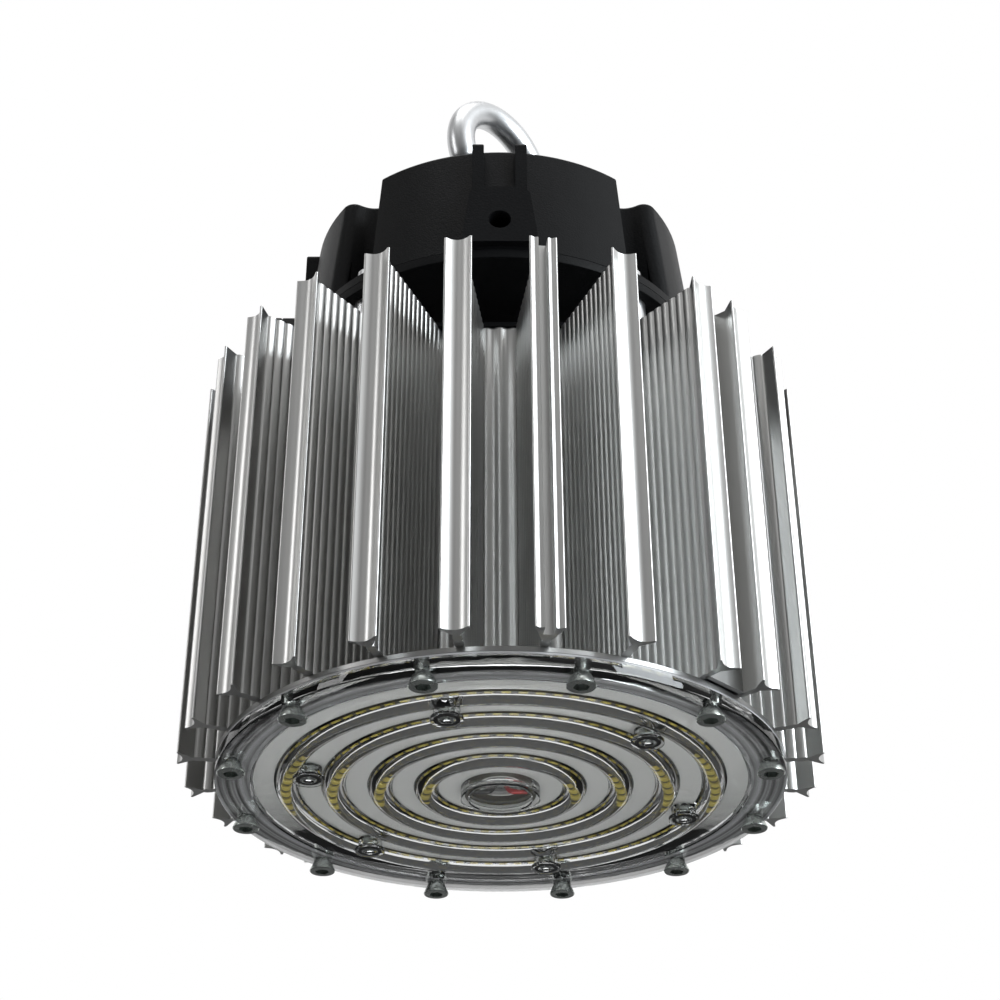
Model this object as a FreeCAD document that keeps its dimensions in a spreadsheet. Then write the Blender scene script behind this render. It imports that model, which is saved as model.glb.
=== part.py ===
import FreeCAD, Part
import math
import os
import re
import Sketcher

# High bay light: an LED board and its lens under a finned extrusion, a cast driver housing
# above it on four standoffs, and a bar hook on top. Millimetres. The origin is the inner top
# of the hook's loop, where the light hangs. +Z is up and -Y is the front. Angles named
# "from the front" grow towards +X.

SIZES = {
    # Hook
    "hook_bar": 12,
    "loop_radius": 23,
    "neck_radius": 17,
    "loop_rise": 60,
    "hook_angle": 45.8,
    "hook_end": 215,
    "hook_end_round": 4.5,
    "hook_washer_radius": 12,
    "hook_washer_thickness": 2.5,
    "hook_nut_width": 18,
    "hook_nut_height": 10,
    "lock_nut_height": 7,
    "hook_thread_spare": 3,
    # Driver housing
    "housing_height": 57,
    "housing_taper": 5.4,
    "housing_radius": 80.4,
    "housing_wall": 4.5,
    "housing_roof": 4,
    "housing_top_round": 2,
    "hook_boss_radius": 14,
    "hook_boss_depth": 4,
    "hook_clearance": 0.25,
    "fixing_inset": 9.69,
    "recess_radius": 8.5,
    "recess_front_angle": 37.5,
    "recess_side_angle": 53.5,
    "recess_flank": 30,
    "recess_lobe_round": 5,
    "recess_wall": 3.5,
    "recess_wall_inner_half": 8,
    "recess_wall_outer_half": 16,
    "flange_thickness": 4,
    "lid_thickness": 4,
    "boss_stand": 2.6,
    "boss_bottom": 1.5,
    "boss_top": 28,
    "boss_half_width": 14.5,
    "boss_top_half_width": 11.5,
    "boss_clip": 3,
    "boss_hole_height": 12,
    "bracket_hole_radius": 4.2,
    "bracket_hole_depth": 15,
    "bracket_boss_radius": 8,
    "boss_rib_inner": 6,
    "boss_rib_outer": 10.5,
    "boss_rib_stand": 4.8,
    # Housing fixings
    "housing_screw_radius": 3,
    "housing_head_radius": 5,
    "housing_head_height": 6,
    "housing_socket_width": 5,
    "housing_socket_depth": 3,
    "housing_washer_radius": 7,
    "housing_washer_thickness": 1.2,
    "housing_gasket_width": 2.4,
    "housing_gasket_depth": 1.5,
    "standoff_length": 15.5,
    "standoff_radius": 6,
    "standoff_thread": 10,
    "screw_end_clearance": 1,
    "screw_clearance": 0.3,
    # Mounting plate on the extrusion
    "bracket_corner": 11,
    "bracket_thickness": 2,
    "bracket_opening": 18,
    "bracket_head_radius": 4.6,
    "bracket_head_height": 3,
    "core_screw_length": 14,
    "core_socket_width": 3,
    "core_socket_depth": 1.6,
    # Extruded heat sink
    "heat_sink_height": 154.5,
    "tip_radius": 115,
    "half_fins": 12,
    "core_radius": 60,
    "bore_radius": 54.5,
    "web_root": 3,
    "web_tip": 2,
    "tip_width": 9.9,
    "tip_hollow": 2.1,
    "tip_lip": 1,
    "tip_corner": 0.35,
    "rib_pitch": 3.73,
    "rib_height": 0.55,
    "first_rib": 7.8,
    "core_ribs": 3,
    "slot_width": 3.3,
    "slot_depth": 5.3,
    "slot_wall": 1.4,
    "channel_angle": 5.25,
    "channel_depth": 10.5,
    "channel_web": 1.8,
    "port_circle": 51,
    "port_radius": 2.5,
    "port_wall": 2.2,
    "port_count": 6,
    # Base plate, board and light sources
    "plate_radius": 101.5,
    "plate_thickness": 2,
    "plate_head_radius": 4.3,
    "plate_head_depth": 1.6,
    "pad_thickness": 0.3,
    "board_thickness": 1.6,
    "board_hole_radius": 6.5,
    "first_ring": 26.5,
    "ring_margin": 3.75,
    "ring_count": 4,
    "led_size": 3,
    "led_height": 0.7,
    "led_pitch": 5.6,
    # Lens cover
    "gasket_thickness": 0.6,
    "rim_thickness": 3.9,
    "rim_width": 13,
    "rim_inset": 0.5,
    "valley_thickness": 1.1,
    "dome_height": 2.5,
    "led_channel_half": 3.6,
    "led_channel_height": 1.3,
    "cup_radius": 14.2,
    "cup_drop": 5.7,
    "cup_recess_radius": 11.1,
    "cup_recess": 1,
    "cup_floor": 1.5,
    "cup_cavity_radius": 11.5,
    "post_inset": 18.8,
    "post_angle": 15,
    "post_count": 6,
    "post_radius": 4.5,
    "post_drop": 4.7,
    "post_bore": 3,
    "post_floor": 1.5,
    "plug_radius": 5.65,
    "plug_thickness": 1.4,
    "plug_spigot": 1,
    "plug_dimple_radius": 1.6,
    "plug_dimple": 0.6,
    # Lens and board screws
    "rim_screw_count": 12,
    "rim_screw_inset": 5.1,
    "rim_screw_radius": 2.5,
    "rim_head_radius": 4.25,
    "rim_head_height": 4,
    "rim_socket_width": 4,
    "rim_socket_depth": 2.2,
    "rim_screw_end": 1.5,
    "post_screw_radius": 1.5,
    "post_head_radius": 2.75,
    "post_head_height": 2,
    "post_screw_end": 0.5,
    # Wiring
    "lead_radius": 1.1,
    "lead_offset": 2.4,
    "lead_clearance": 0.1,
    "lead_bend": 2.5,
    "lead_foot": 9.5,
    "grommet_flange": 2.5,
    "grommet_wall": 1.5,
    "grommet_lip": 1.2,
    # Driver
    "driver_post_x": 42,
    "driver_post_y": 26,
    "driver_post_radius": 3.5,
    "driver_post_height": 9,
    "driver_post_floor": 1,
    "driver_board_margin": 6,
    "driver_board_thickness": 1.6,
    "driver_screw_radius": 1.5,
    "driver_head_radius": 2.75,
    "driver_head_height": 2,
    "transformer_x": 24,
    "transformer_length": 30,
    "transformer_width": 34,
    "transformer_height": 22,
    "capacitor_radius": 7,
    "capacitor_height": 20,
    "capacitor_pitch": 16,
    "capacitor_clearance": 1,
    "terminal_x": 34,
    "terminal_length": 12,
    "terminal_width": 26,
    "terminal_height": 13,
    "terminal_way_radius": 2.2,
    "terminal_way_depth": 6,
    "terminal_ways": 3,
    # Cable gland
    "gland_thread_radius": 10,
    "gland_thread_spare": 1.5,
    "gland_hex_width": 24,
    "gland_hex_thickness": 5,
    "gland_neck_radius": 8.5,
    "gland_neck_length": 8,
    "gland_nut_gap": 0.5,
    "gland_nut_length": 11,
    "gland_nut_round": 3,
    "gland_seal_radius": 6.5,
    "gland_bore": 4,
    "gland_mouth": 5,
}

# Levels and places that follow from the sizes.
DERIVED = {
    "housing_top_radius": "housing_radius - housing_taper",
    "corner_offset": "(housing_radius - fixing_inset) / sqrt(2)",
    "bracket_half": "corner_offset + bracket_corner",
    "boss_reach": "housing_radius + boss_stand",
    "boss_rib_reach": "housing_top_radius + boss_rib_stand",
    "gland_wall": "boss_reach - housing_top_radius + housing_wall",
    "gland_thread_length": "gland_wall - gland_thread_spare",
    "loop_centre": "hook_bar / 2 - loop_radius",
    "housing_top": "loop_centre - loop_rise",
    "housing_bottom": "housing_top - housing_height",
    "housing_seat": "housing_bottom + lid_thickness",
    "cup_height": "housing_height - lid_thickness",
    "bracket_top": "housing_bottom - standoff_length",
    "heat_sink_top": "bracket_top - bracket_thickness",
    "heat_sink_bottom": "heat_sink_top - heat_sink_height",
    "plate_bottom": "heat_sink_bottom - plate_thickness",
    "board_top": "plate_bottom - pad_thickness",
    "board_bottom": "board_top - board_thickness",
    "lens_top": "plate_bottom - gasket_thickness",
    "lens_bottom": "lens_top - rim_thickness",
    "rim_radius": "plate_radius - rim_width",
    "board_radius": "rim_radius - rim_inset",
    "ring_pitch": "(board_radius - ring_margin - first_ring) / (ring_count - 1 / 2)",
    "post_circle": "board_radius - post_inset",
    "rim_screw_circle": "plate_radius - rim_screw_inset",
    "roof_inner": "cup_height - housing_roof",
    "grommet_bore": "lead_offset + lead_radius + lead_clearance",
    "grommet_body": "grommet_bore + grommet_wall",
    "driver_level": "lid_thickness + driver_post_height",
    "driver_top": "driver_level + driver_board_thickness",
    "gland_level": "housing_seat + boss_hole_height",
}

doc = FreeCAD.newDocument("HighBayLight")
sheet = doc.addObject("Spreadsheet::Sheet", "Sizes")
for row, (alias, size) in enumerate(SIZES.items(), start=1):
    sheet.set(f"A{row}", alias)
    sheet.set(f"B{row}", str(size))
    sheet.setAlias(f"B{row}", alias)
doc.recompute()

WORDS = re.compile(r"\b(" + "|".join(list(SIZES) + list(DERIVED)) + r")\b")


def bound(text):
    """An expression on the sheet's cells for a text that uses their aliases and the levels."""
    def spell(found):
        word = found.group(1)
        return f"({bound(DERIVED[word])})" if word in DERIVED else f"Sizes.{word}"
    return WORDS.sub(spell, text)


def value(text):
    """The number that such a text stands for."""
    return float(sheet.evalExpression(bound(text)))


def new_body(label, level="0"):
    """A body of that name with its own origin at a level on the axis."""
    body = doc.addObject("PartDesign::Body", label)
    body.Label = label
    body.AllowCompound = True
    body.setExpression("Placement.Base.z", bound(level))
    return body


def origin_plane(body, role):
    return next(part for part in body.Origin.OriginFeatures if part.Role == role)


def new_sketch(body, name, role, offset="0"):
    """A sketch on one of the body's origin planes, moved along its normal."""
    sketch = body.newObject("Sketcher::SketchObject", name)
    sketch.AttachmentSupport = [(origin_plane(body, role), "")]
    sketch.MapMode = "FlatFace"
    sketch.setExpression("AttachmentOffset.Base.z", bound(offset))
    return sketch


def hold(sketch, kind, geometry, point, text):
    """Tie one coordinate of a point to an expression."""
    number = sketch.addConstraint(Sketcher.Constraint(kind, -1, 1, geometry, point, value(text)))
    sketch.setExpression(f"Constraints[{number}]", bound(text))


def arc_between(start, end, radius):
    """The shorter arc from start to end; a positive radius turns left."""
    chord = end - start
    side = FreeCAD.Vector(-chord.y, chord.x, 0).normalize()
    rise = math.sqrt(max(radius * radius - chord.Length ** 2 / 4, 0))
    centre = start + chord * 0.5 + side * math.copysign(rise, radius)
    first = math.atan2(start.y - centre.y, start.x - centre.x)
    last = math.atan2(end.y - centre.y, end.x - centre.x)
    if radius < 0:
        first, last = last, first
    circle = Part.Circle(centre, FreeCAD.Vector(0, 0, 1), abs(radius))
    return Part.ArcOfCircle(circle, first, last)


def trace(sketch, points, closed=True):
    """Lines and arcs through (x, y) points; (x, y, radius) is reached by an arc."""
    places = [FreeCAD.Vector(value(point[0]), value(point[1]), 0) for point in points]
    count = len(points)
    ends = []
    for number in range(count if closed else count - 1):
        target = points[(number + 1) % count]
        start, end = places[number], places[(number + 1) % count]
        if len(target) == 3:
            radius = value(target[2])
            edge = sketch.addGeometry(arc_between(start, end, radius), False)
            held = sketch.addConstraint(Sketcher.Constraint("Radius", edge, abs(radius)))
            sketch.setExpression(f"Constraints[{held}]", bound(f"abs({target[2]})"))
            ends.append((edge, 1, 2) if radius > 0 else (edge, 2, 1))
        else:
            edge = sketch.addGeometry(Part.LineSegment(start, end), False)
            ends.append((edge, 1, 2))
    for number, (edge, start, end) in enumerate(ends):
        if closed or number + 1 < len(ends):
            follower = ends[(number + 1) % len(ends)]
            sketch.addConstraint(
                Sketcher.Constraint("Coincident", edge, end, follower[0], follower[1]))
        hold(sketch, "DistanceX", edge, start, points[number][0])
        hold(sketch, "DistanceY", edge, start, points[number][1])
    if not closed:
        hold(sketch, "DistanceX", ends[-1][0], ends[-1][2], points[-1][0])
        hold(sketch, "DistanceY", ends[-1][0], ends[-1][2], points[-1][1])


def rectangle(sketch, left, low, right, high):
    trace(sketch, [(left, low), (right, low), (right, high), (left, high)])


def circle(sketch, x, y, radius):
    centre = FreeCAD.Vector(value(x), value(y), 0)
    edge = sketch.addGeometry(
        Part.Circle(centre, FreeCAD.Vector(0, 0, 1), value(radius)), False)
    hold(sketch, "DistanceX", edge, 3, x)
    hold(sketch, "DistanceY", edge, 3, y)
    held = sketch.addConstraint(Sketcher.Constraint("Radius", edge, value(radius)))
    sketch.setExpression(f"Constraints[{held}]", bound(radius))


def hexagon(sketch, width, x="0", y="0"):
    """A hexagon of that width across its flats."""
    corner = f"({width}) / sqrt(3)"
    trace(sketch, [
        (f"{x} + {corner} * cos({60 * turn})", f"{y} + {corner} * sin({60 * turn})")
        for turn in range(6)])


def pad(body, name, sketch, length, reverse=False):
    feature = body.newObject("PartDesign::Pad", name)
    feature.Profile = sketch
    feature.setExpression("Length", bound(length))
    feature.Reversed = reverse
    return feature


def pocket(body, name, sketch, depth, reverse=False):
    """A cut of that depth from the sketch, against its normal unless reversed."""
    feature = body.newObject("PartDesign::Pocket", name)
    feature.Profile = sketch
    feature.Type = "Length"
    feature.setExpression("Length", bound(depth))
    feature.Reversed = reverse
    return feature


def turn(body, name, points, x="0", kind="Revolution"):
    """A revolution, or a groove, of a closed (x, z) outline about a vertical line at x."""
    sketch = new_sketch(body, f"{name}Profile", "XZ_Plane")
    trace(sketch, points)
    axis = sketch.addGeometry(Part.LineSegment(
        FreeCAD.Vector(value(x), 0, 0), FreeCAD.Vector(value(x), 10, 0)), True)
    sketch.addConstraint(Sketcher.Constraint("Vertical", axis))
    hold(sketch, "DistanceX", axis, 1, x)
    hold(sketch, "DistanceY", axis, 1, "0")
    feature = body.newObject(f"PartDesign::{kind}", name)
    feature.Profile = sketch
    feature.ReferenceAxis = (sketch, ["Axis0"])
    feature.Angle = 360
    return feature


def ring(body, name, features, count):
    """The features repeated evenly round the body's vertical axis."""
    pattern = body.newObject("PartDesign::PolarPattern", name)
    pattern.Originals = features
    pattern.Axis = (origin_plane(body, "Z_Axis"), [""])
    pattern.Angle = 360
    pattern.setExpression("Occurrences", bound(count))
    body.Tip = pattern
    return pattern


def drill(body, name, x, y, radius, level, depth, count=None):
    """Round holes downwards from a level, one or a ring of them."""
    sketch = new_sketch(body, f"{name}Circle", "XY_Plane", level)
    circle(sketch, x, y, radius)
    hole = pocket(body, name, sketch, depth)
    if count:
        ring(body, f"{name}Ring", [hole], count)
    return hole


def corner_drill(body, name, radius, level, depth):
    """Four holes downwards from a level at the housing's fixings."""
    sketch = new_sketch(body, f"{name}Circles", "XY_Plane", level)
    for x in ("-corner_offset", "corner_offset"):
        for y in ("-corner_offset", "corner_offset"):
            circle(sketch, x, y, radius)
    return pocket(body, name, sketch, depth)


def round_edges(body, name, base, radius, chosen):
    """A fillet on those edges of the base that the test picks."""
    doc.recompute()
    names = [f"Edge{number}" for number, edge in enumerate(base.Shape.Edges, start=1)
             if chosen(edge)]
    feature = body.newObject("PartDesign::Fillet", name)
    feature.Base = (base, names)
    feature.setExpression("Radius", bound(radius))
    return feature


# ---------------------------------------------------------------- heat sink

def polar(radius, side, angle):
    """A point at a radius and a sideways offset on the line at an angle from the front."""
    sine, cosine = math.sin(math.radians(angle)), math.cos(math.radians(angle))
    return FreeCAD.Vector(radius * sine + side * cosine, side * sine - radius * cosine, 0)


def closed_face(points):
    return Part.Face(Part.makePolygon(points + points[:1]))


class FinSection:
    """The outline of a fin, as (radius, half width) pairs from its root to its tip."""

    def __init__(self):
        for name in ("tip_radius", "core_radius", "web_root", "web_tip", "tip_width",
                     "tip_hollow", "tip_lip", "tip_corner", "rib_pitch", "rib_height",
                     "first_rib", "slot_width", "slot_depth", "slot_wall",
                     "channel_depth", "channel_web"):
            setattr(self, name, value(name))
        self.half_tip = self.tip_width / 2
        ribbed = self.tip_radius - self.first_rib - self.rib_pitch / 2 - self.core_radius
        self.rib_count = int(ribbed // self.rib_pitch) + 1
        inset = self.half_tip - self.tip_corner
        self.lip_level = math.sqrt(self.tip_radius ** 2 - inset ** 2)

    def half_web(self, radius):
        share = (radius - self.core_radius) / (self.tip_radius - self.core_radius)
        return (self.web_root + share * (self.web_tip - self.web_root)) / 2

    def ribbed_side(self, skipped=0):
        """Root to flare: a rib's crest at each pitch, a valley between."""
        first = self.tip_radius - self.first_rib
        points = []
        for number in reversed(range(skipped, self.rib_count)):
            crest = first - number * self.rib_pitch
            valley = crest - self.rib_pitch / 2
            points.append((valley, self.half_web(valley)))
            points.append((crest, self.half_web(crest) + self.rib_height))
        flare = first - (skipped - 0.5) * self.rib_pitch
        points.append((flare, self.half_web(flare)))
        return points

    def flat_side(self):
        """Channel floor to flare, without ribs."""
        floor = self.tip_radius - self.channel_depth
        flare = self.tip_radius - self.first_rib + self.rib_pitch / 2
        return [(floor, self.half_web(floor)), (flare, self.half_web(flare))]

    def lip(self):
        """The small square-edged lip that ends each side of a tip."""
        return [
            (self.lip_level - self.tip_lip, self.half_tip),
            (self.lip_level - self.tip_corner, self.half_tip),
            (self.lip_level, self.half_tip - self.tip_corner),
            (self.lip_level - self.tip_corner, self.half_tip - self.tip_lip)]

    def plain_tip(self):
        """Lip to the middle of the hollow outer face."""
        floor = self.tip_radius - self.tip_hollow
        inner = self.half_tip - self.tip_lip
        rise = self.lip_level - self.tip_corner - floor
        return self.lip() + [(floor + rise / 4, inner / 2), (floor, 0)]

    def slotted_tip(self):
        """Lip, cupped prong and half of the slot's floor."""
        half_slot = self.slot_width / 2
        floor = self.lip_level - self.slot_depth
        cheek = half_slot + self.slot_wall
        prong = (half_slot + self.half_tip - self.tip_lip) / 2
        return [(floor - self.slot_wall, cheek - self.tip_corner),
                (floor, cheek)] + self.lip() + [
                (self.lip_level - self.tip_lip, prong),
                (self.lip_level - self.tip_corner, half_slot),
                (floor, half_slot)]


def mirrored(side, tip, other_side):
    """One fin's outline, rising on its lower-angle side and falling on the other."""
    across = [(radius, -half) for radius, half in tip]
    back = [point for point in reversed(tip) if point[1] > 0]
    return ([(radius, -half) for radius, half in side] + across + back
            + [(radius, half) for radius, half in reversed(other_side)])


def heat_sink_section():
    """The extrusion's section: fins round a bored core, the same in each half turn."""
    fin = FinSection()
    half_fins = int(value("half_fins"))
    pitch = 180 / half_fins
    ribbed, flat = fin.ribbed_side(), fin.flat_side()
    plain = mirrored(ribbed, fin.plain_tip(), ribbed)
    slotted_side = fin.ribbed_side(skipped=1)
    slotted = mirrored(slotted_side, fin.slotted_tip(), slotted_side)
    channel_left = mirrored(ribbed, fin.plain_tip(), flat)
    channel_right = mirrored(flat, fin.plain_tip(), ribbed)
    spread = value("channel_angle")
    channel = 3 * pitch

    fins = [(pitch / 2, slotted), (1.5 * pitch, plain),
            (channel - spread, channel_left), (channel + spread, channel_right)]
    fins += [(place * pitch + pitch / 2, plain) for place in range(4, half_fins)]
    fins += [(angle + 180, outline) for angle, outline in fins]

    outline = []
    for number, (angle, shape) in enumerate(fins):
        outline += [polar(radius, side, angle) for radius, side in shape]
        following = fins[(number + 1) % len(fins)][0] + (360 if number + 1 == len(fins) else 0)
        if shape is not channel_left:
            outline += core_ribs(angle, following)

    section = closed_face(outline)
    inner = value("core_radius") + fin.web_root / 2
    outer = fin.tip_radius - fin.channel_depth - fin.channel_web
    for middle in (channel, channel + 180):
        corners = [(inner, -1), (outer, -1), (outer, 1), (inner, 1)]
        hollow = [polar(radius, -side * fin.half_web(radius), middle + side * spread)
                  for radius, side in corners]
        section = section.cut(closed_face(hollow))
    return section.cut(bore_face())


def core_ribs(angle, following):
    """Ribs on the core's outer wall between two neighbouring fins."""
    radius, height = value("core_radius"), value("rib_height")
    count = int(value("core_ribs"))
    root = math.degrees(math.asin(value("web_root") / 2 / radius))
    step = (following - angle - 2 * root) / (2 * count)
    return [polar(radius + (height if number % 2 else 0), 0, angle + root + number * step)
            for number in range(2 * count + 1)]


def round_face(x, y, radius):
    middle = FreeCAD.Vector(x, y, 0)
    return Part.Face(Part.Wire(Part.makeCircle(radius, middle)))


def bore_face():
    """The core's bore, less the screw ports on its wall, and the ports' own bores."""
    bore = round_face(0, 0, value("bore_radius"))
    count = int(value("port_count"))
    for number in range(count):
        angle = 2 * math.pi * number / count
        x = value("port_circle") * math.cos(angle)
        y = value("port_circle") * math.sin(angle)
        bore = bore.cut(round_face(x, y, value("port_radius + port_wall")))
        bore = bore.fuse(round_face(x, y, value("port_radius")))
    return bore


def make_heat_sink():
    height = FreeCAD.Vector(0, 0, value("heat_sink_height"))
    feature = doc.addObject("Part::Feature", "heat_sink")
    feature.Label = "heat_sink"
    feature.Shape = heat_sink_section().Faces[0].extrude(height)
    feature.setExpression("Placement.Base.z", bound("heat_sink_bottom"))
    return feature


# ---------------------------------------------------------------- base and board

def make_base_plate():
    body = new_body("base_plate", "plate_bottom")
    turn(body, "Disc", [
        ("0", "0"), ("plate_radius", "0"), ("plate_radius", "plate_thickness"),
        ("0", "plate_thickness")])
    rim_holes(body, "rim_screw_radius", "plate_thickness", "plate_thickness")
    post_holes(body, "post_screw_radius", "plate_thickness", "plate_thickness")
    drill(body, "LeadHole", "0", "0", "grommet_body", "plate_thickness", "plate_thickness")
    sink = turn(body, "Countersink", [
        ("port_circle", "0"), ("port_circle + plate_head_radius", "0"),
        ("port_circle + port_radius", "plate_head_depth"),
        ("port_circle + port_radius", "plate_thickness"),
        ("port_circle", "plate_thickness")], "port_circle", "Groove")
    ring(body, "CountersinkRing", [sink], "port_count")


def rim_holes(body, radius, level, depth):
    """The ring of holes for the lens's rim screws."""
    drill(body, "RimHole", "rim_screw_circle * cos(180 / rim_screw_count)",
          "rim_screw_circle * sin(180 / rim_screw_count)", radius, level, depth,
          "rim_screw_count")


def post_holes(body, radius, level, depth, name="PostHole"):
    """The ring of holes for the screws in the lens's posts."""
    drill(body, name, "post_circle * cos(post_angle)", "post_circle * sin(post_angle)",
          radius, level, depth, "post_count")


def make_core_screws():
    """Countersunk screws below the plate and button heads above the mounting plate."""
    body = new_body("plate_screws", "plate_bottom")
    screw = turn(body, "Screw", [
        ("port_circle", "0"), ("port_circle + plate_head_radius", "0"),
        ("port_circle + port_radius", "plate_head_depth"),
        ("port_circle + port_radius", "core_screw_length"),
        ("port_circle", "core_screw_length")], "port_circle")
    ring(body, "Screws", [screw], "port_count")

    body = new_body("bracket_screws", "bracket_top")
    screw = turn(body, "Screw", [
        ("port_circle", "-core_screw_length"),
        ("port_circle + port_radius", "-core_screw_length"),
        ("port_circle + port_radius", "0"), ("port_circle + bracket_head_radius", "0"),
        ("port_circle + bracket_head_radius", "bracket_head_height / 2"),
        ("port_circle + bracket_head_radius / 2", "bracket_head_height"),
        ("port_circle", "bracket_head_height")], "port_circle")
    sketch = new_sketch(body, "SocketHexagon", "XY_Plane", "bracket_head_height")
    hexagon(sketch, "core_socket_width", "port_circle")
    socket = pocket(body, "Socket", sketch, "core_socket_depth")
    ring(body, "Screws", [screw, socket], "port_count")


def make_disc(label, level, radius, thickness, hole):
    """A flat round sheet with the post screws' holes and one in its middle."""
    body = new_body(label, level)
    turn(body, "Sheet", [
        (hole, "0"), (radius, "0"), (radius, thickness), (hole, thickness)])
    post_holes(body, "post_screw_radius + screw_clearance", thickness, thickness)


def make_leds(number):
    radius = f"(first_ring + {number} * ring_pitch)"
    body = new_body(f"led_ring_{number + 1}", "board_bottom - led_height")
    sketch = new_sketch(body, "Outline", "XY_Plane")
    rectangle(sketch, f"{radius} - led_size / 2", "-led_size / 2",
              f"{radius} + led_size / 2", "led_size / 2")
    led = pad(body, "Package", sketch, "led_height")
    ring(body, "Packages", [led], f"round(2 * pi * {radius} / led_pitch)")


# ---------------------------------------------------------------- lens cover

def make_lens_gasket():
    body = new_body("lens_gasket", "lens_top")
    turn(body, "Ring", [
        ("rim_radius", "0"), ("plate_radius", "0"), ("plate_radius", "gasket_thickness"),
        ("rim_radius", "gasket_thickness")])
    rim_holes(body, "rim_screw_radius + screw_clearance", "gasket_thickness",
              "gasket_thickness")


def make_lens_cover():
    """A clear moulding: a ring of domes over each ring of LEDs, a cup in the middle."""
    body = new_body("lens_cover", "board_bottom")
    rings = int(value("ring_count"))
    half = "ring_pitch / 2"
    dome = "((ring_pitch / 2) ^ 2 + dome_height ^ 2) / (2 * dome_height)"
    arch = "(led_channel_half ^ 2 + led_channel_height ^ 2) / (2 * led_channel_height)"
    middles = [f"first_ring + {number} * ring_pitch" for number in range(rings)]
    outside = [("0", "cup_recess - cup_drop"), ("cup_recess_radius", "cup_recess - cup_drop"),
               ("cup_recess_radius", "-cup_drop"), ("cup_radius", "-cup_drop"),
               ("cup_radius", "-valley_thickness"),
               (f"first_ring - {half}", "-valley_thickness")]
    outside += [(f"{middle} + {half}", "-valley_thickness", dome) for middle in middles]
    outside += [("rim_radius", "lens_bottom - board_bottom"),
                ("plate_radius", "lens_bottom - board_bottom"),
                ("plate_radius", "lens_top - board_bottom"),
                ("rim_radius", "lens_top - board_bottom"), ("rim_radius", "0")]
    inside = []
    for middle in reversed(middles):
        inside.append((f"{middle} + led_channel_half", "0"))
        inside.append((f"{middle} - led_channel_half", "0", f"-({arch})"))
    ceiling = "cup_recess + cup_floor - cup_drop"
    inside += [("cup_cavity_radius", "0"), ("cup_cavity_radius", ceiling), ("0", ceiling)]
    turn(body, "Shell", outside + inside)

    sketch = new_sketch(body, "PostCircle", "XY_Plane", "-post_drop")
    circle(sketch, "post_circle * cos(post_angle)", "post_circle * sin(post_angle)",
           "post_radius")
    post = pad(body, "Post", sketch, "post_drop")
    ring(body, "Posts", [post], "post_count")
    post_holes(body, "post_screw_radius + screw_clearance", "0", "post_drop")
    post_holes(body, "post_bore", "-post_floor", "post_drop - post_floor", "PostBore")
    rim_holes(body, "rim_screw_radius + screw_clearance", "lens_top - board_bottom",
              "rim_thickness")


def make_rim_screws():
    """Socket-head screws through the lens's rim, tapped into the base plate."""
    body = new_body("rim_screws", "lens_bottom")
    body.setExpression("Placement.Rotation.Angle", bound("180 / rim_screw_count"))
    end = "heat_sink_bottom + rim_screw_end - lens_bottom"
    screw = turn(body, "Screw", [
        ("rim_screw_circle", "-rim_head_height"),
        ("rim_screw_circle + rim_head_radius", "-rim_head_height"),
        ("rim_screw_circle + rim_head_radius", "0"),
        ("rim_screw_circle + rim_screw_radius", "0"),
        ("rim_screw_circle + rim_screw_radius", end), ("rim_screw_circle", end)],
        "rim_screw_circle")
    sketch = new_sketch(body, "SocketHexagon", "XY_Plane", "-rim_head_height")
    hexagon(sketch, "rim_socket_width", "rim_screw_circle")
    socket = pocket(body, "Socket", sketch, "rim_socket_depth", reverse=True)
    ring(body, "Screws", [screw, socket], "rim_screw_count")


def make_post_fixings():
    """The screws inside the lens's posts and the clear plugs that close them."""
    body = new_body("post_screws", "board_bottom")
    body.setExpression("Placement.Rotation.Angle", bound("post_angle"))
    head = "-post_floor - post_head_height"
    end = "heat_sink_bottom + post_screw_end - board_bottom"
    screw = turn(body, "Screw", [
        ("post_circle", head), ("post_circle + post_head_radius", head),
        ("post_circle + post_head_radius", "-post_floor"),
        ("post_circle + post_screw_radius", "-post_floor"),
        ("post_circle + post_screw_radius", end), ("post_circle", end)], "post_circle")
    ring(body, "Screws", [screw], "post_count")

    body = new_body("post_plugs", "board_bottom - post_drop")
    body.setExpression("Placement.Rotation.Angle", bound("post_angle"))
    plug = turn(body, "Plug", [
        ("post_circle", "plug_dimple - plug_thickness"),
        ("post_circle + plug_dimple_radius", "plug_dimple - plug_thickness"),
        ("post_circle + plug_dimple_radius", "-plug_thickness"),
        ("post_circle + plug_radius", "-plug_thickness"),
        ("post_circle + plug_radius", "0"), ("post_circle + post_bore", "0"),
        ("post_circle + post_bore", "plug_spigot"), ("post_circle", "plug_spigot")],
        "post_circle")
    ring(body, "Plugs", [plug], "post_count")


# ---------------------------------------------------------------- wiring

def make_lead(label, side):
    """A lead from the driver's board straight down the axis, bent over onto the LED board."""
    body = new_body(label, "board_bottom - lead_radius")
    path = new_sketch(body, "Route", "XZ_Plane")
    top = "housing_bottom + driver_level - board_bottom + lead_radius"
    bend = f"{side} * (lead_offset + lead_bend)"
    radius = f"{side} * lead_bend"
    trace(path, [
        (f"{side} * lead_offset", top), (f"{side} * lead_offset", "lead_bend"),
        (bend, "0", radius), (f"{side} * lead_foot", "0")], closed=False)
    section = new_sketch(body, "Section", "XY_Plane", top)
    circle(section, f"{side} * lead_offset", "0", "lead_radius")
    pipe = body.newObject("PartDesign::AdditivePipe", "Lead")
    pipe.Profile = section
    pipe.Spine = path


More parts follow.
